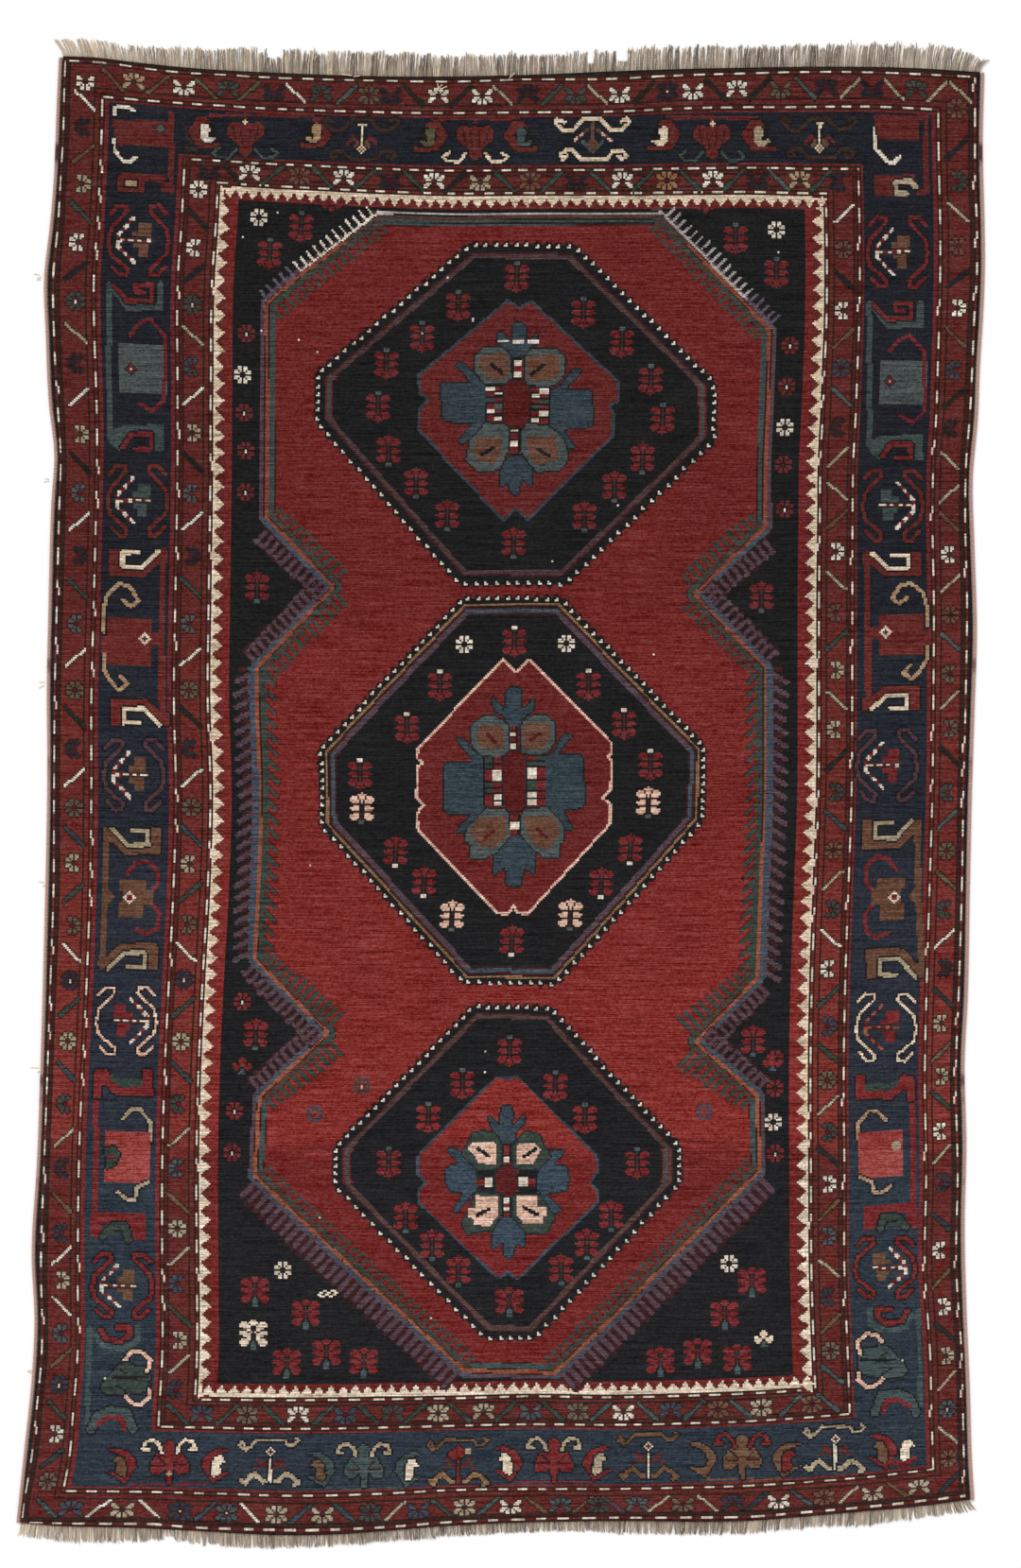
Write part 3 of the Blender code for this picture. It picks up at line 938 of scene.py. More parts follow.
# Pale carnations with the stem at the bottom, and odd knots of white that a weaver's slip leaves
IVORY_CARNATIONS = (382, 855, 686, 848, 478, 968, 603, 968, 268, 1413)
SPECKS = (293, 226, 257, 251, 277, 350, 654, 536, 584, 594, 691, 693, 328, 916, 364, 252, 474, 294,
    447, 354, 500, 339, 316, 360, 335, 372, 513, 1113, 513, 1134, 457, 1395, 339, 1288, 823, 268)


def edge_line(places, depth, first, last, yarn):
    """A line of one yarn along a stretch of the panel's edge, between two depths."""
    along = reach(floor_paper.on_chart(places), 2.2 * max(abs(first), abs(last)))
    put(along & (depth > first) & (depth <= last), yarn)


def draw_panel_hooks():
    """The latch hooks on both sides of the panel's edge."""
    depth = depth_inside(floor_paper.on_chart(PANEL))
    for places, *hooks in OUTER_HOOKS:
        edge_line(places, depth, -2.6, -1.3, hooks[3])
        draw_hooks(places, *hooks)
    for line in PURPLE_HOOKS:
        draw_hooks(line, 4.4, 3.0, 7.4, "maroon", 0.0, 3.4, 0)
        edge_line(line, depth, -3.2, -0.9, "slate")
        draw_hooks(line, 4.4, 3.0, 7.0, "mauve", 0.0, 2.0, 1)
    for line, way in SIDE_HOOKS:
        points = floor_paper.on_chart(line)
        rows = sorted(row for col, row in points)
        band = reach(points, 30.0) & (row_middles > rows[0]) & (row_middles < rows[-1])
        put(band & (depth > -9.5) & (depth < -4.0), "maroon")
        put(band & (depth > -4.6) & (depth < -0.9), "slate")
        draw_hooks(line, 3.4, 4.6, 8.0, "night", way, 1.0, 0)
        draw_hooks(line, 6.8, 3.8, 9.0, "mauve", way, 2.6, 0)
    for line in NEAR_HOOKS:
        draw_hooks(line, 4.8, 3.0, 9.6, "maroon", 0.0, 4.6, 0)
        edge_line(line, depth, -3.6, -0.9, "slate")
        draw_hooks(line, 4.8, 3.2, 9.2, "mauve", 0.0, 2.5, 0)
    for line, length, last, thick, head in GREEN_HOOKS:
        edge_line(line, depth, 1.2, 4.0, "green")
        draw_hooks(line, 4.5, 3.0, length, "wine", 0.0, thick + 1.3, 0, last)
        draw_hooks(line, 4.5, 3.0, length, "green", 0.0, thick, head, last)
    for line, way in GREEN_SIDES:
        edge_line(line, depth, 1.4, 4.8, "green")
        draw_hooks(line, 7.2, 4.2, 7.6, "dark_red", way, 3.0, 0)
        draw_hooks(line, 7.2, 4.0, 7.6, "green", way, 1.9, 0)


def draw_field():
    """The field's panel, octagons, flowers and small motifs."""
    draw_panel()
    draw_panel_hooks()
    for number in range(3):
        draw_octagon(number)
    for flower in FLOWERS:
        draw_flower(flower)
    for turns, places in CARNATIONS:
        for across, down in pairs(places):
            bloom = dict(RED_CARNATION, s="white" if 660 < down < 1060 else "teal")
            rows = CARNATION if down < 1350 else LOW_CARNATION
            floor_paper.stamp(rows, across, down, bloom, turns)
    for across, down in pairs(IVORY_CARNATIONS):
        rows, petals = (CARNATION, "pink") if down < 1350 else (LOW_CARNATION, "ivory")
        bloom = {"r": petals, "m": "dark_brown", "d": "charcoal", "s": "teal"}
        floor_paper.stamp(rows, across, down, bloom, turns=2)
    for across, down in ((351, 221), (746, 223)):
        floor_paper.stamp(PART_CARNATION, across, down, {"r": "crimson"})
    for across, down, petals, stem in (
        (257, 1127, "crimson", "slate"),
        (817, 1123, "crimson", "slate"),
        (808, 1416, "ivory", "sea"),
    ):
        floor_paper.stamp(TREFOIL, across, down, {"r": petals, "d": "gold", "s": stem})
    floor_paper.stamp(SCROLLS, 347, 1368, {"r": "ivory"})
    for petals, heart, places in FIELD_ROSETTES:
        yarns = dict.fromkeys("abcdeg", petals)
        for across, down in pairs(places):
            floor_paper.stamp(ROSETTE, across, down, dict(yarns, k=heart))
    for across, down in pairs(SPECKS):
        floor_paper.box(across - 1, down - 1, across + 1, down + 1, "white")


# Motifs of the borders

# Petals that each kind of rosette leaves out: the curved ones open to the right, the left,
# the top and the bottom, and the last has its heart in white
OPEN_PETALS = {"(": "cg", ")": "ae", "u": "b", "n": "d", "o": "", "*": ""}

# What the two left borders share
LEFT_RUN = (
    r"/w420 )s459 \k490 (t522 /w552 )n588 \g623 (t661 /w696 oo731 \c759 (n792 /w823 oo855 \l885 "
    r"(s914 /g945 )o979 \w1008 *n1037 /g1066 os1102 \l1134 (g1168 /s1204 "
)

# Minor borders: whether it runs along a column or a row, the one in its middle, the floor line
# near it, and its motifs, each a kind, its yarn's letter and its place. Slashes are bars.
MINOR_BORDERS = (
    (
        "col", 13.5, 80,
        r"uw85 \w106 (n134 /b163 )s194 \g224 (w257 /n287 *g319 \s353 (n385 "
        + LEFT_RUN +
        r"(c1236 \b1273 (n1304 /w1329 )s1355 \w1382 (t1410 /b1437 *n1466 \g1492 )w1518 /n1543 "
        r"oo1568 ",
    ),
    (
        "col", 75, 210,
        r"ow202 \c233 (w263 /n290 *g323 \s356 (l388 "
        + LEFT_RUN +
        r"(t1236 \b1273 os1300 /s1330 (l1358 \g1392 )s1419 /s1444 (n1470 ",
    ),
    (
        "col", 423, 880,
        r"/w227 ob265 \n297 (w329 /b359 ol389 \t420 (c452 /s484 \s520 /b550 )w584 \s615 (b649 "
        r"/g678 )s710 \s741 (s773 /c805 )g839 \l868 ob900 /s931 )g963 \w993 (w1025 /g1054 )l1085 "
        r"\g1114 oo1142 /s1169 )g1197 \c1223 )w1253 /b1280 )t1308 \s1341 (n1372 /b1400 oo1428 "
        r"\t1454 ",
    ),
    (
        "col", 484.5, 1005,
        r"ob116 /n158 )g193 \s225 (b261 /n295 )w327 \b358 (l392 /c422 (c454 \s488 /s523 \b552 "
        r"(w587 /s618 ob650 \t679 (o712 /s741 )o771 \c799 (g838 /t867 oo900 \o931 (g963 /w993 "
        r")c1024 \n1054 (s1082 /o1113 )s1138 \g1163 (w1195 /s1220 )n1251 \n1291 (w1322 /b1352 "
        r")w1381 \c1408 )s1434 /m1460 *t1489 \s1517 ob1542 /n1568 ",
    ),
    (
        "row", 11.5, 100,
        r"\b120 nm142 /b167 uw194 \o218 ng241 /o264 un289 \w313 ng341 /t367 oo390 un414 \c438 "
        r"nw463 /c488 uw510 \s532 nn558 /g584 ug608 \s632 uw656 /c681 *n705 uw733 \c757 nw780 "
        r"/c803 uo826 \t852 nn873 /s899 un922 \s945 ng969 /s991 \s1016 ",
    ),
    (
        "row", 56.5, 190,
        r"un221 \c244 nw265 /g289 ob316 \g341 nw364 /g386 un412 \g438 nw460 /c482 us509 \g534 "
        r"ob560 /g584 un609 \g635 nw658 /g680 od705 \g730 nw754 /g776 un801 \t824 nm846 /g868 "
        r"(n888 ",
    ),
    (
        "row", 714.5, 1490,
        r"\g188 nl213 /g241 oo262 \g290 nw316 /g342 ul365 \g390 ng415 /g439 os463 \g487 ns512 "
        r"/g535 ut562 \g585 oo612 /t635 uw659 \t685 nl709 /t734 ob759 \t783 os806 /t836 ob859 "
        r"\t876 ",
    ),
    (
        "row", 766, 1590,
        r"\t50 nl76 /w105 us131 \w159 *n192 /l218 *t241 \w265 os293 /l319 us342 \l365 og393 "
        r"/s419 ul442 \g467 os491 /t517 uw540 \b567 nt593 /b617 og633 \p648 nt673 /s697 uo723 "
        r"\s748 nn775 /n800 uw824 \t848 ob872 /s898 us923 \b949 ns972 ",
    ),
)


def draw_minor_borders():
    """The rosettes and slanting bars of the two red borders."""
    for way, middle, line, motifs in MINOR_BORDERS:
        for motif in motifs.split():
            kind, yarn, place = motif[0], LETTERS[motif[1]], float(motif[2:])
            if way == "col":
                col, row = middle, cloth.knot(line, place)[1]
            else:
                col, row = cloth.knot(place, line)[0], middle
            pale = yarn in ("white", "straw", "camel")
            if kind in "/\\":
                rise = 4.6 if kind == "/" else -4.6
                thick = 1.4 if pale else 1.7
                mask = reach([(col - 5.0, row + rise), (col + 5.0, row - rise)], thick)
                put(mask, yarn, "dusk" if pale else "dark_brown")
                continue
            letters = [letter for letter in "abcdeg" if letter not in OPEN_PETALS[kind]]
            petals = dict.fromkeys(letters, yarn)
            heart = "white" if kind == "*" else "dark_red"
            rows = ROSETTE if way == "col" else WIDE_ROSETTE
            stamp(rows, col, row, dict(petals, k=heart), outline="dusk" if pale else "maroon")


DIAMOND = "...w... ..www.. .wwdww. wwd.dww .wwdww. ..www.. ...w..."
SMALL_DIAMOND = "..r.. .rrr. rrwrr .rrr. ..r.."
STAR = ".w. www .w."

BRACKET = (-30, -28, -22, -37, -13, -36, -12, -31, -29, -13, -32, 2, -29, 15, -12, 30, -13, 37, -20,
    37, -28, 28)
BRACKETS = (
    ("dashes", "white", (-5, -24, -22, -5), "crimson", 1.8, 2.6),
    ("dashes", "crimson", (-22, -5, -22, 6), "white", 1.8, 2.6),
    ("dashes", "white", (-22, 6, -4, 24), "crimson", 1.8, 2.6), ("box", "block", (0, -18, 13, -5)),
    ("box", "block", (-6, -9, 12, -4)), ("box", "block", (-5, 3, 10, 8)),
    ("box", "block", (0, 3, 10, 17)), ("line", "dusk", (-17, 0, 13, 0), 3.2),
    ("dashes", "white", (-19, 0, 13, 0), "crimson", 1.2, 2.3),
)

# Brackets: across and down of the middle, 1 or -1 where the zigzag is on the left or right,
# then the yarns of the brackets and of the block, how tall they are and how thick in knots
BRACKET_PLACES = (
    (147, 255, 1, "crimson", "brown", 1.0, 2.0), (146, 530, 1, "border_red", "sea", 1.0, 2.0),
    (142, 820, 1, "purple", "brown", 1.0, 2.0), (134, 1080, -1, "pink", "crimson", 0.96, 1.35),
    (130, 1360, 1, "crimson", "brown", 0.9, 2.0), (949, 267, 1, "crimson", "brown", 1.0, 2.0),
    (944, 535, -1, "border_red", "sea", 1.0, 2.0), (938, 810, 1, "purple", "crimson", 1.0, 2.0),
    (937, 1087, 1, "ivory", "crimson", 0.96, 1.35), (936, 1341, -1, "crimson", "brown", 0.84, 1.9),
)

HOOK_BLOCK = (
    ("shape", "main", (-30, -14, -19, -14, -19, 6, 6, 5, 23, -14, 32, -14, 32, 0, 22, 1, 9, 14, -30,
        14), "night"),
    ("line", "hook", (1, -11, -16, -11, -16, 4, 5, 4, 22, -13), 2.2, "night"),
)

# The far group of each side border: a teal rectangle hung from a hooked frame
FAR_GROUP = (
    ("line", "sea", (170, 302, 170, 326, 136, 326, 119, 303), 3.6),
    ("line", "crimson", (120, 302, 135, 319, 161, 319, 161, 302, 144, 302, 144, 309, 153, 310), 2.2,
        "night"),
    ("line", "sea", (116, 302, 116, 461), 3.0),
    ("box", "teal", (127, 366, 177, 416)),
    ("line", "crimson", (138, 356, 146, 344, 159, 338, 169, 349, 175, 356, 174, 424, 162, 436, 149,
        428), 2.0),
    ("shape", "sea", (130, 450, 173, 450, 173, 478, 164, 478, 163, 459, 140, 459, 128, 478, 117,
        470, 113, 460, 119, 456)),
    ("line", "crimson", (130, 474, 139, 460, 160, 460, 160, 476, 144, 476), 2.5, "night"),
    ("line", "night", (146, 468, 153, 468), 2.0),
)

# The red group: a bar with a rectangle and camel hooks between two hook blocks
RED_GROUP = (
    ("line", "border_red", (173, 583, 172, 762), 3.2),
    ("line", "camel", (130, 635, 139, 642, 147, 636, 138, 621, 127, 618, 114, 629, 110, 645, 110,
        668), 2.0, "night"),
    ("line", "camel", (110, 692, 110, 708, 118, 722, 126, 731, 135, 724, 128, 715), 2.0, "night"),
    ("box", "border_red", (114, 655, 161, 703)),
    ("box", "border_red", (108, 674, 116, 691)),
    ("box", "border_red", (158, 670, 174, 683)),
)
GOLD_GROUP = (
    ("line", "brown", (113, 880, 112, 947, 108, 1020), 3.4),
    ("shape", "brown", (109, 934, 123, 949, 109, 962)),
    ("line", "crimson", (135, 924, 144, 913, 156, 911, 167, 921, 168, 934, 159, 945, 159, 955, 169,
        966, 167, 982, 156, 988, 144, 983), 2.0),
    ("box", "brown", (127, 931, 155, 942)),
    ("box", "brown", (130, 941, 162, 956)),
    ("box", "brown", (127, 955, 152, 971)),
)
NEAR_RED_GROUP = (
    ("line", "crimson", (103, 1137, 102, 1304), 3.0),
    ("shape", "crimson", (102, 1132, 114, 1131, 119, 1143, 127, 1150, 152, 1150, 152, 1132, 162,
        1132, 162, 1159, 124, 1159, 111, 1147, 107, 1150, 107, 1162, 99, 1162, 99, 1140), "night"),
    ("shape", "green", (117, 1136, 127, 1142, 152, 1141, 152, 1150, 127, 1150, 118, 1143)),
    ("line", "hook", (130, 1184, 140, 1173, 148, 1173, 160, 1188, 159, 1207, 156, 1212), 1.8,
        "night"),
    ("box", "rose", (112, 1197, 159, 1250)),
    ("line", "hook", (125, 1261, 135, 1269, 143, 1269, 145, 1256, 158, 1250), 1.8, "night"),
    ("box", "crimson", (98, 1283, 154, 1294)),
    ("box", "crimson", (139, 1290, 154, 1312)),
    ("shape", "crimson", (97, 1283, 111, 1285, 108, 1300, 104, 1310, 96, 1308)),
    ("line", "green", (109, 1308, 119, 1297, 133, 1297, 136, 1311), 3.6, "night"),
    ("line", "green", (119, 1305, 126, 1305), 2.4),
)
GREEN_GROUP = (
    ("line", "sea", (94, 1411, 103, 1411, 107, 1422, 120, 1426, 136, 1425, 145, 1419, 146, 1404),
        3.0),
    ("line", "crimson", (107, 1406, 112, 1416, 128, 1419, 138, 1412, 138, 1404, 124, 1404), 2.4,
        "night"),
    ("line", "sea", (95, 1405, 94, 1440, 93, 1490, 93, 1505), 2.4),
    ("shape", "leaf", (106, 1469, 111, 1460, 119, 1452, 124, 1445, 136, 1438, 138, 1444, 155, 1446,
        159, 1455, 158, 1463, 159, 1469, 149, 1473, 133, 1475, 111, 1474), "night"),
    ("line", "night", (121, 1457, 155, 1457), 1.6),
    ("line", "night", (124, 1466, 134, 1472), 1.0),
    ("line", "night", (128, 1449, 134, 1453), 1.0),
    ("line", "pink", (133, 1438, 140, 1430, 150, 1430, 160, 1439, 156, 1451), 2.0, "night"),
    ("line", "pink", (133, 1477, 142, 1485, 151, 1485, 159, 1478, 158, 1470), 2.0, "night"),
    ("line", "sea", (97, 1512, 104, 1497, 118, 1492, 134, 1494, 141, 1512), 4.4, "night"),
    ("line", "crimson", (104, 1506, 115, 1499, 129, 1500, 132, 1512), 2.4),
)

# Birds' heads that face left, from the middle of the head: a red diamond and the bird in it
HEAD = (
    ("shape", "main", (-12, 2, -2, -15, 9, -16, 19, 0, 9, 16, -17, 18, -17, 12, -4, 12), "night"),
    ("shape", "night", (-13, 2, -5, -9, 3, -9, 8, 0, 2, 13, -13, 13)),
    ("shape", "bird", (-4, -6, 1, -9, 5, -7, 5, 8, 1, 12, -5, 12, -12, 7, -9, 5, -3, 7, -2, 3, -4,
        0)),
)
FAR_TULIP = (
    ("line", "main", (0, -19, 0, -8), 1.8),
    ("shape", "main", (-20, -4, -14, -11, -4, -8, 0, -12, 4, -8, 14, -11, 20, -4, 18, 5, 9, 12, 6,
        16, 7, 22, 0, 27, -7, 22, -6, 16, -9, 12, -19, 5), "night"),
    ("twin line", "maroon", (-10, 9, -14, -6), 1.0),
    ("twin line", "maroon", (-3, 14, -5, -3), 1.0),
    ("twin line", "hooks", (-10, 19, -18, 28, -30, 27, -34, 23, -28, 18), 1.5, "night"),
)
FAR_SCROLLS = (
    ("line", "main", (-30, -17, -38, -20, -40, -16, -31, -8, -21, -8, -10, -20, 8, -20, 20, -8, 32,
        -10, 39, -17, 36, -21, 30, -18), 1.9, "night"),
    ("line", "main", (-27, 19, -32, 22, -34, 17, -29, 13, -21, 13, -12, 22, 15, 22, 22, 13, 31, 13,
        36, 18, 31, 22, 27, 19), 1.9, "night"),
)
FAR_STEM = (
    ("twin line", "border_red", (-15, 6, -9, -1, 0, 10), 1.8),
    ("line", "brown", (-7, 8, 0, 2, 7, 8), 2.4), ("line", "ivory", (0, -14, 0, 12), 1.2, "night"),
    ("line", "ivory", (-3, -14, 4, -14), 1.2),
)
FAR_ARROW = (
    ("line", "brown", (0, -16, 0, 12), 1.8), ("shape", "brown", (-7, 6, 0, 17, 7, 6, 0, 0)),
    ("twin dashes", "pink", (-19, 2, -5, -9), "brown", 1.6, 2.2),
    ("twin line", "teal", (-10, 4, -3, 12), 1.6),
)

# Motifs of the near border
TEARDROP = (
    ("shape", "main", (15, -14, 2, -15, -8, -11, -15, -3, -16, 5, -11, 12, -5, 22, 15, 9, 5, 11, -4,
        12, -8, 4, -5, -5, 3, -10), "night"),
    ("shape", "drop", (-6, 13, -5, -1, -1, -7, 5, -7, 9, 0, 5, -1, 3, 3, 4, 11, 0, 14, -4, 15),
        "night"),
)
NEAR_TULIP = (
    ("line", "main", (-40, 23, 40, 23), 1.1),
    ("shape", "main", (0, -24, 6, -20, 7, -12, 4, -9, 14, -9, 20, 2, 19, 12, 10, 12, 4, 6, 2, 23,
        -2, 23, -4, 6, -10, 12, -19, 12, -20, 2, -14, -9, -4, -9, -7, -12, -6, -20), "night"),
    ("twin line", "maroon", (-18, 3, -5, 3), 1.0),
    ("twin line", "maroon", (-12, -6, -4, 2), 1.0),
    ("twin line", "hooks", (-22, -14, -28, -14, -25, -22, -17, -24, -11, -19, -8, -11), 1.7,
        "night"),
)
NEAR_SCROLLS = (
    ("line", "thin", (-26, -15, -32, -20, -30, -24, -25, -17, -21, -18, -14, -26, 15, -26, 20, -20,
        26, -21, 31, -26, 27, -28), 1.4, "night"),
    ("line", "thick", (-30, 17, -26, 20, -22, 13, -16, 10, -8, 18, 8, 18, 16, 10, 22, 12, 30, 19,
        26, 21), 2.4, "night"),
    ("line", "border_red", (-13, -6, 0, 6, 13, -6), 1.6),
    ("twin line", "border_red", (-16, 4, -9, 0), 1.4),
    ("line", "stem", (0, -8, 0, 19), 1.4, "night"),
)


def draw_side_border(far, red, gold, near, green):
    """The motifs of one side of the main border, each group on paper of its own."""
    far.draw(FAR_GROUP)
    for paper, across, down, turn, way, main, hook in (
        (red, 146, 596, 1, 1, "border_red", "ivory"),
        (red, 147, 754, 1, -1, "border_red", "ivory"),
        (gold, 141, 890, -1, 1, "brown", "straw"),
        (gold, 137, 1012, -1, -1, "brown", "straw"),
    ):
        left, top = paper.left + across / paper.scale, paper.top + down / paper.tall
        block = Paper(left, top, turn * paper.scale, way * paper.tall)
        block.draw(HOOK_BLOCK, main=main, hook=hook)
    red.draw(RED_GROUP)
    gold.draw(GOLD_GROUP)
    near.draw(NEAR_RED_GROUP, hook="straw" if near.scale > 0 else "camel")
    green.draw(GREEN_GROUP, leaf="green" if green.scale > 0 else "sea")
    far.stamp(SMALL_DIAMOND, 138, 390, {"r": "crimson", "w": "white"}, outline="night")
    red.stamp(DIAMOND, 153.5, 676.6, {"w": "ivory", "d": "night"})
    gold.stamp(DIAMOND, 136.4, 949, {"w": "white", "d": "crimson", ".": "brown"})
    gold.stamp("www www www", 136.4, 949, {"w": "crimson"})
    green.stamp("... .w.", 111.8, 1456.4, {"w": "white"})
    if near.scale > 0:
        near.shape((112, 1214, 122, 1213, 128, 1221, 122, 1233, 112, 1236), "green", "night")
        near.line((115, 1224, 121, 1224), "crimson", 1.6)
    else:
        near.stamp(".www. wwwww wwwww wwwww .www.", 120, 1213, {"w": "straw"})


# Where each group of the right border lies: its left twin's top and bottom, its own, and the
# sum of the two sides' across. The far group isn't mirrored, but shifted across.
FAR_GROUP_SHIFT = 803.0
RIGHT_GROUPS = (
    (300, 478, 320, 487, None), (581, 768, 584, 752, 1090), (876, 1027, 867, 1036, 1083),
    (1131, 1311, 1137, 1300, 1067), (1402, 1514, 1383, 1496, 1066),
)


def right_paper(top, bottom, new_top, new_bottom, across_sum):
    """Paper for a group of the right border, drawn as its left twin."""
    tall = (bottom - top) / (new_bottom - new_top)
    if across_sum is None:
        return Paper(FAR_GROUP_SHIFT, new_top - top / tall, 1.0, tall)
    return Paper(across_sum, new_top - top / tall, -1.0, tall)


def draw_heads_and_tulip(left, middle, right, down, turn, birds, hooks, star):
    """A tulip of the far border between two birds' heads that hang from a bar."""
    bar = (left + 4, down - 17, middle - 6, down - 18, right - 4, down - 17)
    floor_paper.line(bar, "border_red", 1.8)
    Paper(left, down, turn, 1.0).draw(HEAD, main="border_red", bird=birds[0])
    Paper(right, down, -turn, 1.0).draw(HEAD, main="border_red", bird=birds[1])
    Paper(middle, down).draw(FAR_TULIP, main="border_red", hooks=hooks)
    if star:
        floor_paper.stamp(STAR, middle, down - 11, {"w": star})


def draw_far_border():
    """The motifs of the main border's far side, and its two corners."""
    paper = floor_paper
    paper.line((181.5, 121, 181.5, 203), "border_red", 2.8)
    paper.shape((120, 127, 184, 129, 184, 157, 121, 154), "border_red")
    paper.stamp(".tt. tttt tttt .tt.", 171, 136, {"t": "teal"}, outline="dusk")
    paper.line((121, 122, 121, 115, 128, 113, 136, 114, 143, 118), "white", 1.7, "night")
    paper.line((121, 148, 122, 160, 131, 172, 138, 172, 144, 167), "white", 1.7, "night")
    paper.shape((125, 184, 154, 185, 154, 192, 153, 204, 124, 203), "border_red", "night")
    paper.box(153, 185, 175, 193, "border_red")
    paper.box(171, 195, 183, 204, "border_red")
    paper.box(131, 190, 147, 199, "night")
    paper.box(133, 192, 145, 197, "camel")
    paper.line((197, 136, 199, 148, 211, 154, 208, 160, 197, 157), "dusk", 2.2)

    paper.line((979.5, 124, 979.5, 203, 972, 205), "border_red", 2.8)
    paper.line((926, 125, 980, 125), "border_red", 2.4)
    paper.shape((925, 123, 971, 126, 971, 151, 927, 149), "border_red")
    paper.line((924, 137, 926, 158, 940, 173, 945, 173, 952, 166), "white", 1.7, "night")
    paper.shape((924, 185, 968, 186, 966, 193, 944, 193, 943, 208, 924, 207), "border_red")
    paper.line((969, 199, 964, 193, 947, 193, 948, 206, 958, 206), "straw", 2.6, "night")

    draw_heads_and_tulip(218, 260, 334, 140, -1.0, ("white", "camel"), "sea", "ivory")
    draw_heads_and_tulip(455, 503, 552, 144, 1.0, ("olive", "sea"), "ivory", None)
    draw_heads_and_tulip(701, 753, 803, 143, 1.0, ("ivory", "straw"), "sea", "pink")
    for across, down, main, middle in (
        (383, 147, "dusk", FAR_STEM),
        (627, 147, "ivory", FAR_ARROW),
        (867, 146, "dusk", FAR_STEM),
    ):
        Paper(across, down).draw(FAR_SCROLLS, main=main)
        Paper(across, down).draw(middle)
        if middle is FAR_STEM:
            yarns = {"w": "ivory", "d": "border_red"}
            paper.stamp("..w.. .wdw. wd.dw .wdw. ..w..", across, down + 12, yarns)


def draw_near_border():
    """The motifs of the main border's near side."""
    for left, middle, right, down, main, drops, hooks, lobes in (
        (128, 179.5, 230, 1547, "crimson", ("brown", "ivory"), "ivory", "crimson"),
        (338, 385, 434, 1551, "sea", ("brown", "ivory"), "straw", "sea"),
        (536, 586, 633, 1545, "crimson", ("ivory", "straw"), "straw", "crimson"),
        (741, 785, 833, 1541, "brown", (None, "crimson"), "crimson", "brown"),
    ):
        Paper(middle, down).draw(NEAR_TULIP, main=lobes, hooks=hooks)
        for across, turn, drop in ((left, -1.0, drops[0]), (right, 1.0, drops[1])):
            strokes = TEARDROP if drop else TEARDROP[:1]
            Paper(across, down, turn, 1.0).draw(strokes, main=main, drop=drop or "navy")
    floor_paper.stamp(STAR, 179.5, 1559, {"w": "straw"})
    for across, down, thin, thick, stem in (
        (286, 1549, "straw", "straw", "white"),
        (485, 1549, "brown", "gold", "crimson"),
        (686, 1543, "brown", "brown", "white"),
        (883, 1535, "straw", "straw", "white"),
    ):
        Paper(across, down).draw(NEAR_SCROLLS, thin=thin, thick=thick, stem=stem)
        if stem == "white":
            yarns = {"w": "white", "d": "crimson"}
            rows = "..w.. .wdw. wd.dw .wdw. ..w.."
            floor_paper.stamp(rows, across, down - 13, yarns, outline="night")
        else:
            flower = (-12, -10, 0, -21, 10, -12, 4, -7, -6, -5)
            Paper(across, down).shape(flower, "crimson", "night")
            floor_paper.box(across + 7, down - 17, across + 13, down - 11, "straw")
    Paper(932, 1532, -1.0, 1.0).draw(TEARDROP, main="crimson", drop="brown")
    Paper(958, 1530).draw(TEARDROP[1:], drop="ivory")
    floor_paper.line((944, 1546, 958, 1549, 968, 1541), "crimson", 2.2)
    floor_paper.line((935, 1548, 960, 1551), "crimson", 1.4)


def draw_main_border():
    """The blue border's motifs on all four sides."""
    for across, down, turn, main, block, tall, thick in BRACKET_PLACES:
        paper = Paper(across, down, float(turn), 1.0 / tall)
        for side in (-1, 1):
            half = Paper(across, down, float(side * turn), 1.0 / tall)
            half.line(BRACKET, main, thick, "night")
        plain = {"white": "rust", "crimson": "dark_red"} if main == "ivory" else {}
        paper.draw(BRACKETS, block=block, **plain)
    draw_side_border(*[floor_paper] * len(RIGHT_GROUPS))
    draw_side_border(*(right_paper(*group) for group in RIGHT_GROUPS))
    draw_far_border()
    draw_near_border()


draw_bands()
draw_dashes()
draw_teeth()
draw_field()
draw_minor_borders()
draw_main_border()


# The cloth's meshes


def grid_lines(count):
    """Lines of the grid across a length of knots, close together at its edges."""
    lines = [0.0, 0.08, 0.7, 2.0]
    inner = list(range(CELL, count - CELL + 1, CELL))
    return np.array(lines + inner + [count - line for line in reversed(lines)])


def metres(across, down):
    """Floor squares as metres on the rug."""
    return (across - ORIGIN_ACROSS) * SQUARE, (ORIGIN_DOWN - down) * SQUARE


def ripple(x, y):
    """Slow rises and falls of a hand-knotted pile, in metres."""
    waves = np.sin(x * 21.0 + 2.0 * np.sin(y * 7.0)) * np.sin(y * 17.0 + 1.3)
    small = np.sin(x * 93.0 + y * 31.0) * np.sin(y * 71.0 - x * 23.0)
    return 0.00018 * waves + 0.00008 * small


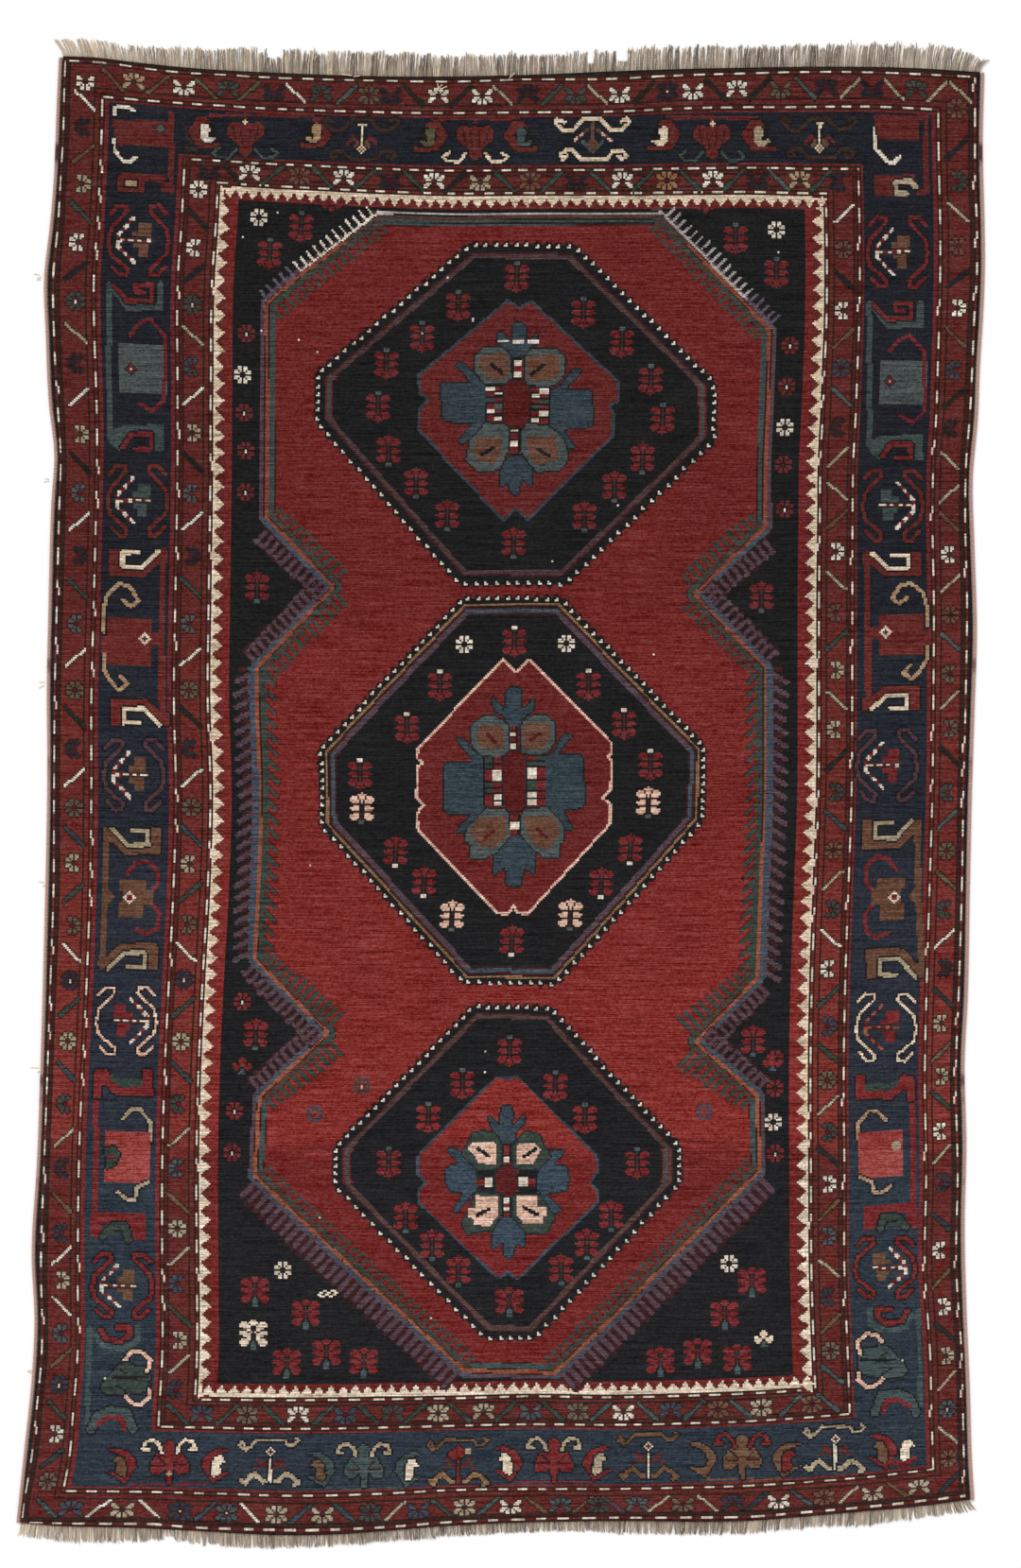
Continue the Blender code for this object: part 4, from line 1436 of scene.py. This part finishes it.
def knotted_mesh(name, rim_heights, facing_up):
    """A sheet of the cloth, with its knots kept on its faces and in its UV map.

    rim_heights are the heights of the sheet's outermost rings, the last for all the rest.
    """
    cols, rows = grid_lines(COLS), grid_lines(ROWS)
    across, down = cloth.squares(cols, rows)
    x, y = metres(across, down)
    wide, tall = len(cols), len(rows)
    ring = np.minimum.outer(
        np.minimum(np.arange(tall), tall - 1 - np.arange(tall)),
        np.minimum(np.arange(wide), wide - 1 - np.arange(wide)),
    )
    heights = np.array(rim_heights)
    z = heights[np.minimum(ring, len(heights) - 1)]
    if facing_up:
        z = z + np.where(ring >= len(heights) - 1, ripple(x, y), 0.0)
    points = np.stack((x, y, z), axis=2).reshape(-1, 3)

    first = (np.arange(tall - 1)[:, None] * wide + np.arange(wide - 1)[None, :]).ravel()
    around = np.stack((first, first + wide, first + wide + 1, first + 1), axis=1)
    if not facing_up:
        around = around[:, ::-1]
    mesh = bpy.data.meshes.new(name)
    mesh.from_pydata(points, [], around)

    for label, u, v in (("knots", cols, rows), ("OFBake", spread(cols), 1 - spread(rows))):
        places = np.stack((np.tile(u, tall), np.repeat(v, wide)), 1)[around.ravel()]
        mesh.uv_layers.new(name=label).data.foreach_set("uv", places.ravel())

    cell_rows = np.minimum((rows[:-1] + rows[1:]) / 2, ROWS - 1).astype(int) // CELL
    cell_cols = np.minimum((cols[:-1] + cols[1:]) / 2, COLS - 1).astype(int) // CELL
    cells = knots.reshape(ROWS // CELL, CELL, COLS // CELL, CELL).astype(float)
    packed = cells @ (RAMP_STOPS ** np.arange(CELL)).astype(float)
    for line_in_cell in range(CELL):
        layer = mesh.attributes.new(f"knots_{line_in_cell}", "FLOAT", "FACE")
        values = packed[:, line_in_cell][np.ix_(cell_rows, cell_cols)]
        layer.data.foreach_set("value", values.ravel().astype(np.float32))
    mesh.polygons.foreach_set("use_smooth", np.ones(len(mesh.polygons), bool))
    mesh.update()
    return mesh


def spread(lines):
    """Grid lines on a scale from 0 to 1 that gives the rims room as well."""
    places = lines.copy()
    places[0] -= 4.0
    places[1] -= 1.0
    places[-1] += 4.0
    places[-2] += 1.0
    return (places - places[0] + 2.0) / (places[-1] - places[0] + 4.0)


def add_piece(name, data, material):
    """A piece of the rug, at the origin, in its material."""
    piece = bpy.data.objects.new(name, data)
    data.materials.append(material)
    bpy.context.scene.collection.objects.link(piece)
    return piece


# Materials


def linear(colour):
    """A colour of 0 to 255 a channel, as light."""
    channels = [value / 255.0 for value in colour]
    light = [c / 12.92 if c <= 0.04045 else ((c + 0.055) / 1.055) ** 2.4 for c in channels]
    return (*light, 1.0)


def add_node(tree, kind, inputs, settings):
    """A node of a tree, with the values or sockets of its inputs."""
    node = tree.nodes.new(kind)
    for name, value in settings.items():
        setattr(node, name, value)
    for place, value in inputs.items() if isinstance(inputs, dict) else enumerate(inputs):
        if isinstance(value, Wire):
            value = value.socket
        if isinstance(value, bpy.types.NodeSocket):
            tree.links.new(value, node.inputs[place])
        else:
            node.inputs[place].default_value = value
    return node


def sum_of(operation, turned=False):
    """A method that adds a Math node of two terms, in turned order where the wire is second."""

    def method(self, other):
        terms = (other, self) if turned else (self, other)
        return self.look.add("ShaderNodeMath", terms, operation=operation)

    return method


class Wire:
    """A socket of a material's nodes that can be used in sums."""

    def __init__(self, look, node, output):
        self.look = look
        self.node = node
        self.socket = node.outputs[output]

    def output(self, name):
        """Another output of the same node."""
        return Wire(self.look, self.node, name)

    def maths(self, operation, *others):
        """A Math node that starts from this socket."""
        return self.look.add("ShaderNodeMath", (self, *others), operation=operation)

    def floor(self):
        return self.maths("FLOOR")

    def size(self):
        """How far this is from nought."""
        return self.maths("ABSOLUTE")

    __add__ = __radd__ = sum_of("ADD")
    __sub__, __rsub__ = sum_of("SUBTRACT"), sum_of("SUBTRACT", True)
    __mul__ = __rmul__ = sum_of("MULTIPLY")
    __truediv__, __rtruediv__ = sum_of("DIVIDE"), sum_of("DIVIDE", True)
    __mod__ = sum_of("FLOORED_MODULO")
    __pow__, __rpow__ = sum_of("POWER"), sum_of("POWER", True)


class Look:
    """A material and its nodes."""

    def __init__(self, name, roughness):
        self.material = bpy.data.materials.new(name)
        self.material.use_nodes = True
        self.tree = self.material.node_tree
        self.shader = self.tree.nodes["Principled BSDF"]
        self.shader.inputs["Roughness"].default_value = roughness
        self.shader.inputs["Specular IOR Level"].default_value = 0.08

    def add(self, kind, inputs=(), output=0, **settings):
        """A node of a kind, with its settings and the values or wires of its inputs."""
        return Wire(self, add_node(self.tree, kind, inputs, settings), output)

    def ramp(self, stops, place, interpolation="LINEAR"):
        """The colour that stops give at a place from 0 to 1."""
        made = self.add("ShaderNodeValToRGB", (place,))
        ramp = made.node.color_ramp
        ramp.interpolation = interpolation
        while len(ramp.elements) < len(stops):
            ramp.elements.new(1.0)
        for element, stop in zip(ramp.elements, stops):
            element.position, element.color = stop
        return made

    def place(self):
        """Where on the rug a point lies, in metres."""
        return self.add("ShaderNodeTexCoord", output="Object")

    def stretched(self, place, scale):
        """A place scaled by a different amount across and along."""
        return self.add("ShaderNodeMapping", {"Vector": place, "Scale": scale})

    def noise(self, place, scale=5.0, detail=2.0):
        """Soft noise about a half."""
        inputs = {"Vector": place, "Scale": scale, "Detail": detail}
        return self.add("ShaderNodeTexNoise", inputs)

    def noise_along(self, way, scale, detail):
        """Soft noise about a half that changes only one way."""
        inputs = {"W": way, "Scale": scale, "Detail": detail}
        return self.add("ShaderNodeTexNoise", inputs, noise_dimensions="1D")

    def kept(self, name):
        """A number kept on the mesh."""
        return self.add("ShaderNodeAttribute", output="Fac", attribute_name=name)

    def split(self, vector, output="X"):
        return self.add("ShaderNodeSeparateXYZ", (vector,), output)

    def mix(self, factor, first, second, within=True):
        """One colour or the other, by a factor kept within nought and one unless told not to."""
        inputs = {0: factor, 6: first, 7: second}
        return self.add("ShaderNodeMix", inputs, 2, data_type="RGBA", clamp_factor=within)

    def shaded(self, colour, share):
        """A colour made darker or lighter."""
        return self.add("ShaderNodeVectorMath", {0: colour, 3: share}, operation="SCALE")

    def finish(self, colour, height=None, strength=0.5, depth=0.0004):
        """The material, its colour and the bumps of a height fed to its shader."""
        self.tree.links.new(colour.socket, self.shader.inputs["Base Color"])
        if height:
            inputs = {"Height": height, "Strength": strength, "Distance": depth}
            bump = self.add("ShaderNodeBump", inputs)
            self.tree.links.new(bump.socket, self.shader.inputs["Normal"])
        return self.material


def yarn_number(look, col, row):
    """The number of the yarn that a knot is tied in, read from its face of the cloth."""
    line_in_cell = row.floor() % CELL
    packed = 0.0
    for number in range(CELL):
        kept = look.kept(f"knots_{number}")
        packed = packed + kept * line_in_cell.maths("COMPARE", float(number), 0.25)
    place_in_line = col.floor() % CELL
    return ((packed + 0.5) / RAMP_STOPS**place_in_line).floor() % RAMP_STOPS


def yarn_colour(look, yarn, lot):
    """The colour of a numbered yarn in one dye lot: 0 far end, 1 middle, 2 near end."""
    stops = [(n / RAMP_STOPS, linear(lots[lot])) for n, lots in enumerate(YARNS.values())]
    return look.ramp(stops, (yarn + 0.5) / RAMP_STOPS, "CONSTANT")


# How much of the middle dye lot each stretch of the rug was knotted in, from its near end
MIDDLE_LOT = tuple(
    (place, (share, share, share, 1.0))
    for place, share in (
        (0.0, 0.0), (0.262, 0.0), (0.272, 1.0), (0.33, 0.85), (0.44, 0.65), (0.475, 0.35),
        (0.58, 0.35), (0.64, 0.0),
    )
)


def knotted_look(name, roughness, relief, loops=1):
    """Knots in their yarns, each a little lighter or darker than the next.

    loops is how many bumps a knot shows across: one where its pile stands, two on the back.
    """
    look = Look(name, roughness)
    col = look.split(look.add("ShaderNodeUVMap", uv_map="knots"))
    row = col.output("Y")
    yarn = yarn_number(look, col, row)

    place = look.place()
    waver = look.noise(look.stretched(place, (2.0, 16.0, 1.0)), detail=4.0)
    along = look.split(place, "Y") / 2.6 + 0.5 + (waver - 0.5) * 0.05
    far_or_near = (along - 0.262) * 90.0
    colour = look.mix(far_or_near, yarn_colour(look, yarn, 2), yarn_colour(look, yarn, 0))
    colour = look.mix(look.ramp(MIDDLE_LOT, along), colour, yarn_colour(look, yarn, 1))

    whole = look.add("ShaderNodeCombineXYZ", (col.floor(), row.floor()))
    grain = look.add("ShaderNodeTexWhiteNoise", (whole,), noise_dimensions="2D")
    streaks = look.noise(look.stretched(place, (13.0, 330.0, 1.0)), detail=3.0)
    bands = look.noise(look.stretched(place, (2.2, 80.0, 1.0)), detail=3.0)
    blotches = look.noise(place, 7.0, 4.0)
    across_knot = (col * loops % 1.0 - 0.5).size() * 2.0
    along_knot = (row % 1.0 - 0.5).size() * 2.0
    # Painted shade: each knot is darker towards its edges, and most between rows, where the gaps of
    # the pile fall in shade
    edge = across_knot**4.0 * 0.14 + along_knot**4.0 * 0.30
    red = look.add("ShaderNodeSeparateColor", (colour,))
    cold = ((red.output("Blue") - red) * 26.0).maths("MAXIMUM", 0.0).maths("MINIMUM", 1.0)
    share = 1.09 + (grain - 0.5) * 0.34 + (streaks - 0.5) * (cold * 1.8 + 1.5)
    share = share + (bands - 0.5) * 2.1 + (blotches - 0.5) * 0.34 - edge
    colour = look.shaded(colour, share)
    # Paler, greyer streaks: partly painted sheen on the pile, partly the wool's own paler tips
    sheen_and_pale_tips = (streaks - 0.5) * 0.9 + (bands - 0.5) * 0.4 + (grain - 0.5) * 0.14
    light = look.add("ShaderNodeRGBToBW", (colour,))
    colour = look.mix(sheen_and_pale_tips, colour, light * 2.55, within=False)

    fibres = look.noise(place, 2600.0)
    height = (1.0 - across_knot**3.0) * (1.0 - along_knot**3.0) * 0.6 + fibres * 0.5 + grain * 0.3
    return look.finish(colour, height, relief, 0.0012)


def thread_look(name, dark, pale, pitch):
    """Twisted yarn, from dark to pale by the shade kept on each thread."""
    look = Look(name, 0.9)
    shade = look.kept("shade")
    place = look.place()
    soil, fuzz = look.noise(place, 38.0, 4.0), look.noise(place, 900.0)
    colour = look.mix(shade + (soil - 0.5) * 0.5, linear(dark), linear(pale))
    slanting = look.add("ShaderNodeMapping", {"Vector": place, "Rotation": (0.0, 0.0, 0.6)})
    inputs = {"Vector": slanting, "Scale": 0.314 / pitch, "Distortion": 1.5, "Detail": 1.0}
    twist = look.add("ShaderNodeTexWave", inputs, "Fac", bands_direction="Y")
    return look.finish(look.shaded(colour, 0.86 + fuzz * 0.3), twist + fuzz * 0.5)


def overcast_look(name):
    """The wool that the edges are overcast with, pink with stretches of purple and red."""
    look = Look(name, 0.9)
    place = look.place()
    up_rug = look.split(place, "Y")
    along, wraps = look.noise_along(up_rug, 7.0, 2.0), look.noise_along(up_rug, 420.0, 1.0)
    fuzz = look.noise(place, 1400.0)
    pink = look.mix(wraps, linear((170, 128, 116)), linear((208, 176, 164)))
    colour = look.mix((along - 0.62) * 14.0, pink, linear((112, 58, 62)))
    return look.finish(look.shaded(colour, 0.84 + fuzz * 0.32), fuzz)


def floor_look(name):
    """A white studio floor with the faintest mottle."""
    look = Look(name, 0.9)
    mottle = look.noise(look.place(), 3.0)
    return look.finish(look.mix(mottle, linear((249, 249, 249)), linear((252, 252, 252))))


# Trees that repeat a thread or a wrap


class Tree:
    """A Geometry Nodes tree, with its inputs named and its result made a plain mesh."""

    def __init__(self, name, sizes):
        self.group = bpy.data.node_groups.new(name, "GeometryNodeTree")
        sockets = self.group.interface
        sockets.new_socket("Geometry", in_out="INPUT", socket_type="NodeSocketGeometry")
        sockets.new_socket("Geometry", in_out="OUTPUT", socket_type="NodeSocketGeometry")
        self.sockets = {}
        for label, value in sizes.items():
            kind = "NodeSocketInt" if isinstance(value, int) else "NodeSocketFloat"
            self.sockets[label] = sockets.new_socket(label, in_out="INPUT", socket_type=kind)
        self.sizes = sizes
        self.given = self.group.nodes.new("NodeGroupInput").outputs

    def add(self, kind, inputs=(), **settings):
        """The first output of a node, from the values or sockets of its inputs."""
        node = add_node(self.group, kind, inputs, settings)
        return next(socket for socket in node.outputs if socket.enabled)

    def maths(self, operation, first, second):
        """The result of a Math node."""
        return self.add("ShaderNodeMath", (first, second), operation=operation)

    def product(self, first, *others):
        """The product of several values."""
        for other in others:
            first = self.maths("MULTIPLY", first, other)
        return first

    def kept(self, name, data_type="FLOAT"):
        """An attribute that the points bring."""
        return self.add("GeometryNodeInputNamedAttribute", {"Name": name}, data_type=data_type)

    def circle(self, resolution, radius):
        inputs = {"Resolution": resolution, "Radius": radius}
        return self.add("GeometryNodeCurvePrimitiveCircle", inputs)

    def tube(self, curve, profile, caps=True):
        """A mesh with a profile all along a curve."""
        inputs = {"Curve": curve, "Profile Curve": profile, "Fill Caps": caps}
        return self.add("GeometryNodeCurveToMesh", inputs)

    def make(self, name, points, result, material):
        """The mesh that the tree makes of the points, as a piece of the rug."""
        whole = self.add("GeometryNodeRealizeInstances", {"Geometry": result})
        inputs = {"Geometry": whole, "Material": material}
        finished = self.add("GeometryNodeSetMaterial", inputs)
        out = self.group.nodes.new("NodeGroupOutput")
        self.group.links.new(finished, out.inputs[0])
        carrier = bpy.data.objects.new(name + "_points", points)
        bpy.context.scene.collection.objects.link(carrier)
        modifier = carrier.modifiers.new("make", "NODES")
        modifier.node_group = self.group
        for label, value in self.sizes.items():
            modifier[self.sockets[label].identifier] = value
        bpy.context.view_layer.update()
        drawn = carrier.evaluated_get(bpy.context.evaluated_depsgraph_get())
        mesh = bpy.data.meshes.new_from_object(drawn)
        carrier.modifiers.remove(modifier)
        bpy.data.objects.remove(carrier)
        mesh.name = name
        mesh.materials.clear()
        return add_piece(name, mesh, material)


def point_mesh(name, points, heading, length, **values):
    """The roots of threads: which way each turns, its length, and numbers kept on each."""
    mesh = bpy.data.meshes.new(name)
    mesh.from_pydata(points, [], [])
    none, one = np.zeros(len(points)), np.ones(len(points))
    vectors = {"turn": (none, none, heading), "size": (one, length, one)}
    for label, numbers in {**vectors, **values}.items():
        kind, field = ("FLOAT_VECTOR", "vector") if label in vectors else ("FLOAT", "value")
        layer = mesh.attributes.new(label, kind, "POINT")
        layer.data.foreach_set(field, np.array(numbers, np.float32).T.ravel())
    return mesh


def make_threads(name, points, material, seed):
    """Threads that start at points and lie down on the floor, each bent in its own way."""
    sizes = {"Radius": THREAD_RADIUS, "Sides": 3, "Rings": 7, "Waviness": 0.0032, "Seed": seed}
    tree = Tree(name, sizes)
    given = tree.given
    line = tree.add("GeometryNodeCurvePrimitiveLine", {"End": (0.0, 1.0, 0.0)})
    line = tree.add("GeometryNodeResampleCurve", {"Curve": line, "Count": given["Rings"]})
    inputs = {
        "Points": given["Geometry"],
        "Instance": line,
        "Rotation": tree.add("FunctionNodeEulerToRotation", {0: tree.kept("turn", "FLOAT_VECTOR")}),
        "Scale": tree.kept("size", "FLOAT_VECTOR"),
    }
    threads = tree.add("GeometryNodeInstanceOnPoints", inputs)
    threads = tree.add("GeometryNodeRealizeInstances", {"Geometry": threads})
    along = tree.add("GeometryNodeSplineParameter")
    place = tree.add("GeometryNodeInputPosition")
    height = tree.add("ShaderNodeSeparateXYZ", {0: place}).node.outputs["Z"]
    fall = tree.maths("MINIMUM", tree.product(along, 3.0), 1.0)
    down = tree.product(tree.maths("SUBTRACT", tree.kept("rest"), height), fall)
    bend = tree.product(tree.kept("bend"), tree.product(along, along))
    inputs = {"Vector": place, "W": given["Seed"], "Scale": 160.0, "Detail": 1.0}
    noise = tree.add("ShaderNodeTexNoise", inputs, noise_dimensions="4D")
    sway = tree.product(tree.maths("SUBTRACT", noise, 0.5), given["Waviness"], along, 2.0)
    inputs = {"X": tree.maths("ADD", bend, sway), "Z": down}
    inputs = {"Geometry": threads, "Offset": tree.add("ShaderNodeCombineXYZ", inputs)}
    laid = tree.add("GeometryNodeSetPosition", inputs)
    taper = tree.maths("SUBTRACT", 1.0, tree.product(along, 0.45))
    laid = tree.add("GeometryNodeSetCurveRadius", {"Curve": laid, "Radius": taper})
    mesh = tree.tube(laid, tree.circle(given["Sides"], given["Radius"]))
    return tree.make(name, points, mesh, material)


def fringe_points(name, level, outwards, table, worn, shades):
    """The roots of one end's warp ends, with how each is to lie."""
    luck = np.random.default_rng(SEED + (1 if outwards > 0 else 2))
    left, right = (
        metres(np.interp(cloth.levels[level][near], cloth.down, cloth.uprights[side]), 0.0)[0]
        for side, near in ((0, 20), (-1, -20))
    )
    x = np.arange(left + 0.001, right - 0.001, THREAD_PITCH)
    count = len(x)
    x = x + luck.uniform(-0.4, 0.4, count) * THREAD_PITCH
    down = np.interp(x / SQUARE + ORIGIN_ACROSS, cloth.across, cloth.levels[level])
    y = metres(0.0, down)[1] - outwards * 0.0012
    spots, lengths, leans = np.array(table).T / 1000
    length, lean = np.interp(x, spots, lengths), np.interp(x, spots, leans)
    for middle, half, share in worn:
        length = np.where(np.abs(x - middle / 1000) < half / 1000, length * share, length)
    lock = np.floor(x / LOCK_PITCH)
    lock_luck = luck.normal(0.0, 1.0, (400, 3))[(lock - lock.min()).astype(int)]
    length = (length + STRIP_WIDTH) * (1.0 + 0.05 * lock_luck[:, 0] + luck.normal(0.0, 0.06, count))
    gather = ((lock + 0.5) * LOCK_PITCH - x) * 0.2
    lean = lean + gather + 0.0010 * lock_luck[:, 1] + luck.normal(0.0, 0.0011, count)
    layer = THREAD_RADIUS + luck.uniform(0.0, 0.0024, count)
    heading = np.arctan2(-lean * 0.4, length) * outwards + (0.0 if outwards > 0 else math.pi)
    shade = np.interp(x * 1000, *np.array(shades).T) + 0.10 * lock_luck[:, 2]
    shade = shade + luck.normal(0.0, 0.15, count)
    shade = np.clip(np.where(luck.random(count) < 0.04, 0.95, shade), 0.0, 1.0)
    points = np.stack((x, y, luck.uniform(0.0010, 0.0034, count)), 1)
    return point_mesh(name, points, heading, length, bend=lean * 0.6, rest=layer, shade=shade)


def make_overcast(name, side, outwards, material):
    """The cord along one side, wrapped all the way in wool."""
    down = cloth.down
    edge = cloth.uprights[side]
    half = (SELVEDGE_WIDTH / 2 + PIECE_GAP) * outwards
    x, y = metres(edge, down)
    top = np.interp(edge[0], cloth.across, cloth.levels[0])
    bottom = np.interp(edge[-1], cloth.across, cloth.levels[-1])
    kept = (down >= top) & (down <= bottom)
    points = np.stack((x[kept] + half, y[kept], np.full(kept.sum(), SELVEDGE_HEIGHT / 2)), 1)
    path = bpy.data.meshes.new(name + "_path")
    path.from_pydata(points, [(n, n + 1) for n in range(len(points) - 1)], [])
    sizes = {"Width": SELVEDGE_WIDTH, "Height": SELVEDGE_HEIGHT}
    tree = Tree(name, {**sizes, "Wrap radius": WRAP_RADIUS, "Pitch": WRAP_PITCH})
    given = tree.given
    radius = given["Wrap radius"]
    cord = tree.add("GeometryNodeMeshToCurve", {"Mesh": given["Geometry"]})
    inputs = {"Curve": cord, "Length": given["Pitch"]}
    spots = tree.add("GeometryNodeResampleCurve", inputs, mode="LENGTH")
    across, upright = (
        tree.maths("SUBTRACT", tree.product(given[label], 0.5), radius) for label in sizes
    )
    oval = tree.add("ShaderNodeCombineXYZ", {"X": across, "Y": upright, "Z": 1.0})
    inputs = {"Geometry": tree.circle(10, 1.0), "Scale": oval}
    ring = tree.add("GeometryNodeTransform", inputs)
    wrap = tree.tube(ring, tree.circle(4, radius), False)
    tangent = tree.add("GeometryNodeInputTangent")
    inputs = {0: tangent, 1: (0.16, 0.0, 0.0)}
    slant = tree.add("ShaderNodeVectorMath", inputs, operation="ADD")
    inputs = {0: slant, 1: (0.0, 0.0, 1.0)}
    axes = {"primary_axis": "Z", "secondary_axis": "Y"}
    turn = tree.add("FunctionNodeAxesToRotation", inputs, **axes)
    inputs = {"Points": spots, "Instance": wrap, "Rotation": turn}
    wraps = tree.add("GeometryNodeInstanceOnPoints", inputs)
    whole = tree.add("GeometryNodeJoinGeometry")
    tree.group.links.new(wraps, whole.node.inputs[0])
    tree.group.links.new(tree.tube(cord, ring), whole.node.inputs[0])
    return tree.make(name, path, whole, material)


# Loose white ends along the left edge and on the far border: across, down and direction in degrees
LOOSE_ENDS = (
    (42, 291, 168), (44, 293, 200), (43, 296, 185), (52, 507, 172), (52, 509, 190), (47, 722, 178),
    (47, 725, 205), (47, 934, 170), (48, 937, 188), (41, 1130, 176), (42, 1133, 210),
    (34, 1450, 184), (33, 1453, 160),
)
TUFTS = (
    (463, 96, 60), (464, 97, 100), (466, 95, 20), (467, 98, 150), (462, 99, 200), (539, 84, 75),
    (541, 82, 55), (372, 81, 170), (374, 82, 10), (460, 66, 85), (501, 63, 95), (333, 64, 80),
)


def loose_points(name):
    """The roots of the loose white ends, with how each is to lie."""
    luck = np.random.default_rng(SEED + 5)
    rows = [(*row, 0.0008, 0.0011) for row in LOOSE_ENDS]
    rows += [(*row, PILE_TOP + 0.0006, PILE_TOP + 0.0012) for row in TUFTS]
    across, down, heading, root, rest = np.array(rows, float).T
    points = np.stack((*metres(across, down), root), 1)
    length = luck.uniform(0.006, 0.013, len(rows))
    bend = luck.uniform(-0.003, 0.003, len(rows))
    heading, shade = np.radians(heading - 90.0), np.ones(len(rows))
    return point_mesh(name, points, heading, length, bend=bend, rest=rest, shade=shade)


# Pieces

pile = add_piece(
    "pile",
    knotted_mesh("pile", (0.0018, 0.0052, 0.0066, PILE_TOP), True),
    knotted_look("pile_knots", 0.95, 0.5),
)
back = add_piece(
    "back",
    knotted_mesh("back", (BACK_TOP, 0.0006, 0.0, 0.0), False),
    knotted_look("back_knots", 0.9, 0.6, loops=2),
)
warp_material = thread_look("warp_threads", (111, 93, 77), (242, 222, 196), THREAD_PITCH)
far_threads = make_threads(
    "warp_ends_far",
    fringe_points("far_roots", 0, 1.0, FAR_FRINGE, FAR_WORN, FAR_SHADES),
    warp_material,
    SEED,
)
near_threads = make_threads(
    "warp_ends_near",
    fringe_points("near_roots", -1, -1.0, NEAR_FRINGE, NEAR_WORN, NEAR_SHADES),
    warp_material,
    SEED + 1,
)
loose_ends = make_threads("loose_ends", loose_points("loose_roots"), warp_material, SEED + 2)
overcast_material = overcast_look("overcast_wool")
overcast_left = make_overcast("overcast_left", 0, -1.0, overcast_material)
overcast_right = make_overcast("overcast_right", -1, 1.0, overcast_material)

for piece, slot_name, nodes in (
    (pile, "pile", ("rug_body",)),
    (back, "pile", ("rug_body",)),
    (far_threads, "warp_yarn", ("fringe_top",)),
    (near_threads, "warp_yarn", ("fringe_bottom",)),
    (loose_ends, "warp_yarn", ()),
    (overcast_left, "selvedge_yarn", ("selvedge_left",)),
    (overcast_right, "selvedge_yarn", ("selvedge_right",)),
):
    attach(piece, "root")
    if nodes:
        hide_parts(*nodes)

# The floor, the lights and the camera

floor_mesh = bpy.data.meshes.new("floor")
floor_mesh.from_pydata(
    [(-30, -30, 0), (30, -30, 0), (30, 30, 0), (-30, 30, 0)], [], [(0, 1, 2, 3)]
)
floor = add_piece("floor", floor_mesh, floor_look("studio_floor"))

world = bpy.data.worlds.new("studio")
world.use_nodes = True
backdrop = world.node_tree.nodes["Background"].inputs
backdrop["Color"].default_value = (1.0, 1.0, 1.0, 1.0)
backdrop["Strength"].default_value = 0.75
bpy.context.scene.world = world
bpy.context.scene.view_settings.view_transform = "Standard"

sun_data = bpy.data.lights.new("soft_key", "SUN")
sun_data.energy = 1.4
sun_data.angle = math.radians(25.0)
sun = bpy.data.objects.new("soft_key", sun_data)
sun.rotation_euler = (math.radians(-38.0), math.radians(-22.0), 0.0)
bpy.context.scene.collection.objects.link(sun)

VIEW_MIDDLE = (0.013, 0.016)
VIEW_HEIGHT = 7.4656
camera_data = bpy.data.cameras.new("camera")
camera_data.sensor_fit = "VERTICAL"
camera_data.sensor_height = 36.0
camera_data.sensor_width = 36.0
camera_data.lens = 100.0
camera = bpy.data.objects.new("camera", camera_data)
camera.location = (*VIEW_MIDDLE, VIEW_HEIGHT)
bpy.context.scene.collection.objects.link(camera)
bpy.context.scene.camera = camera
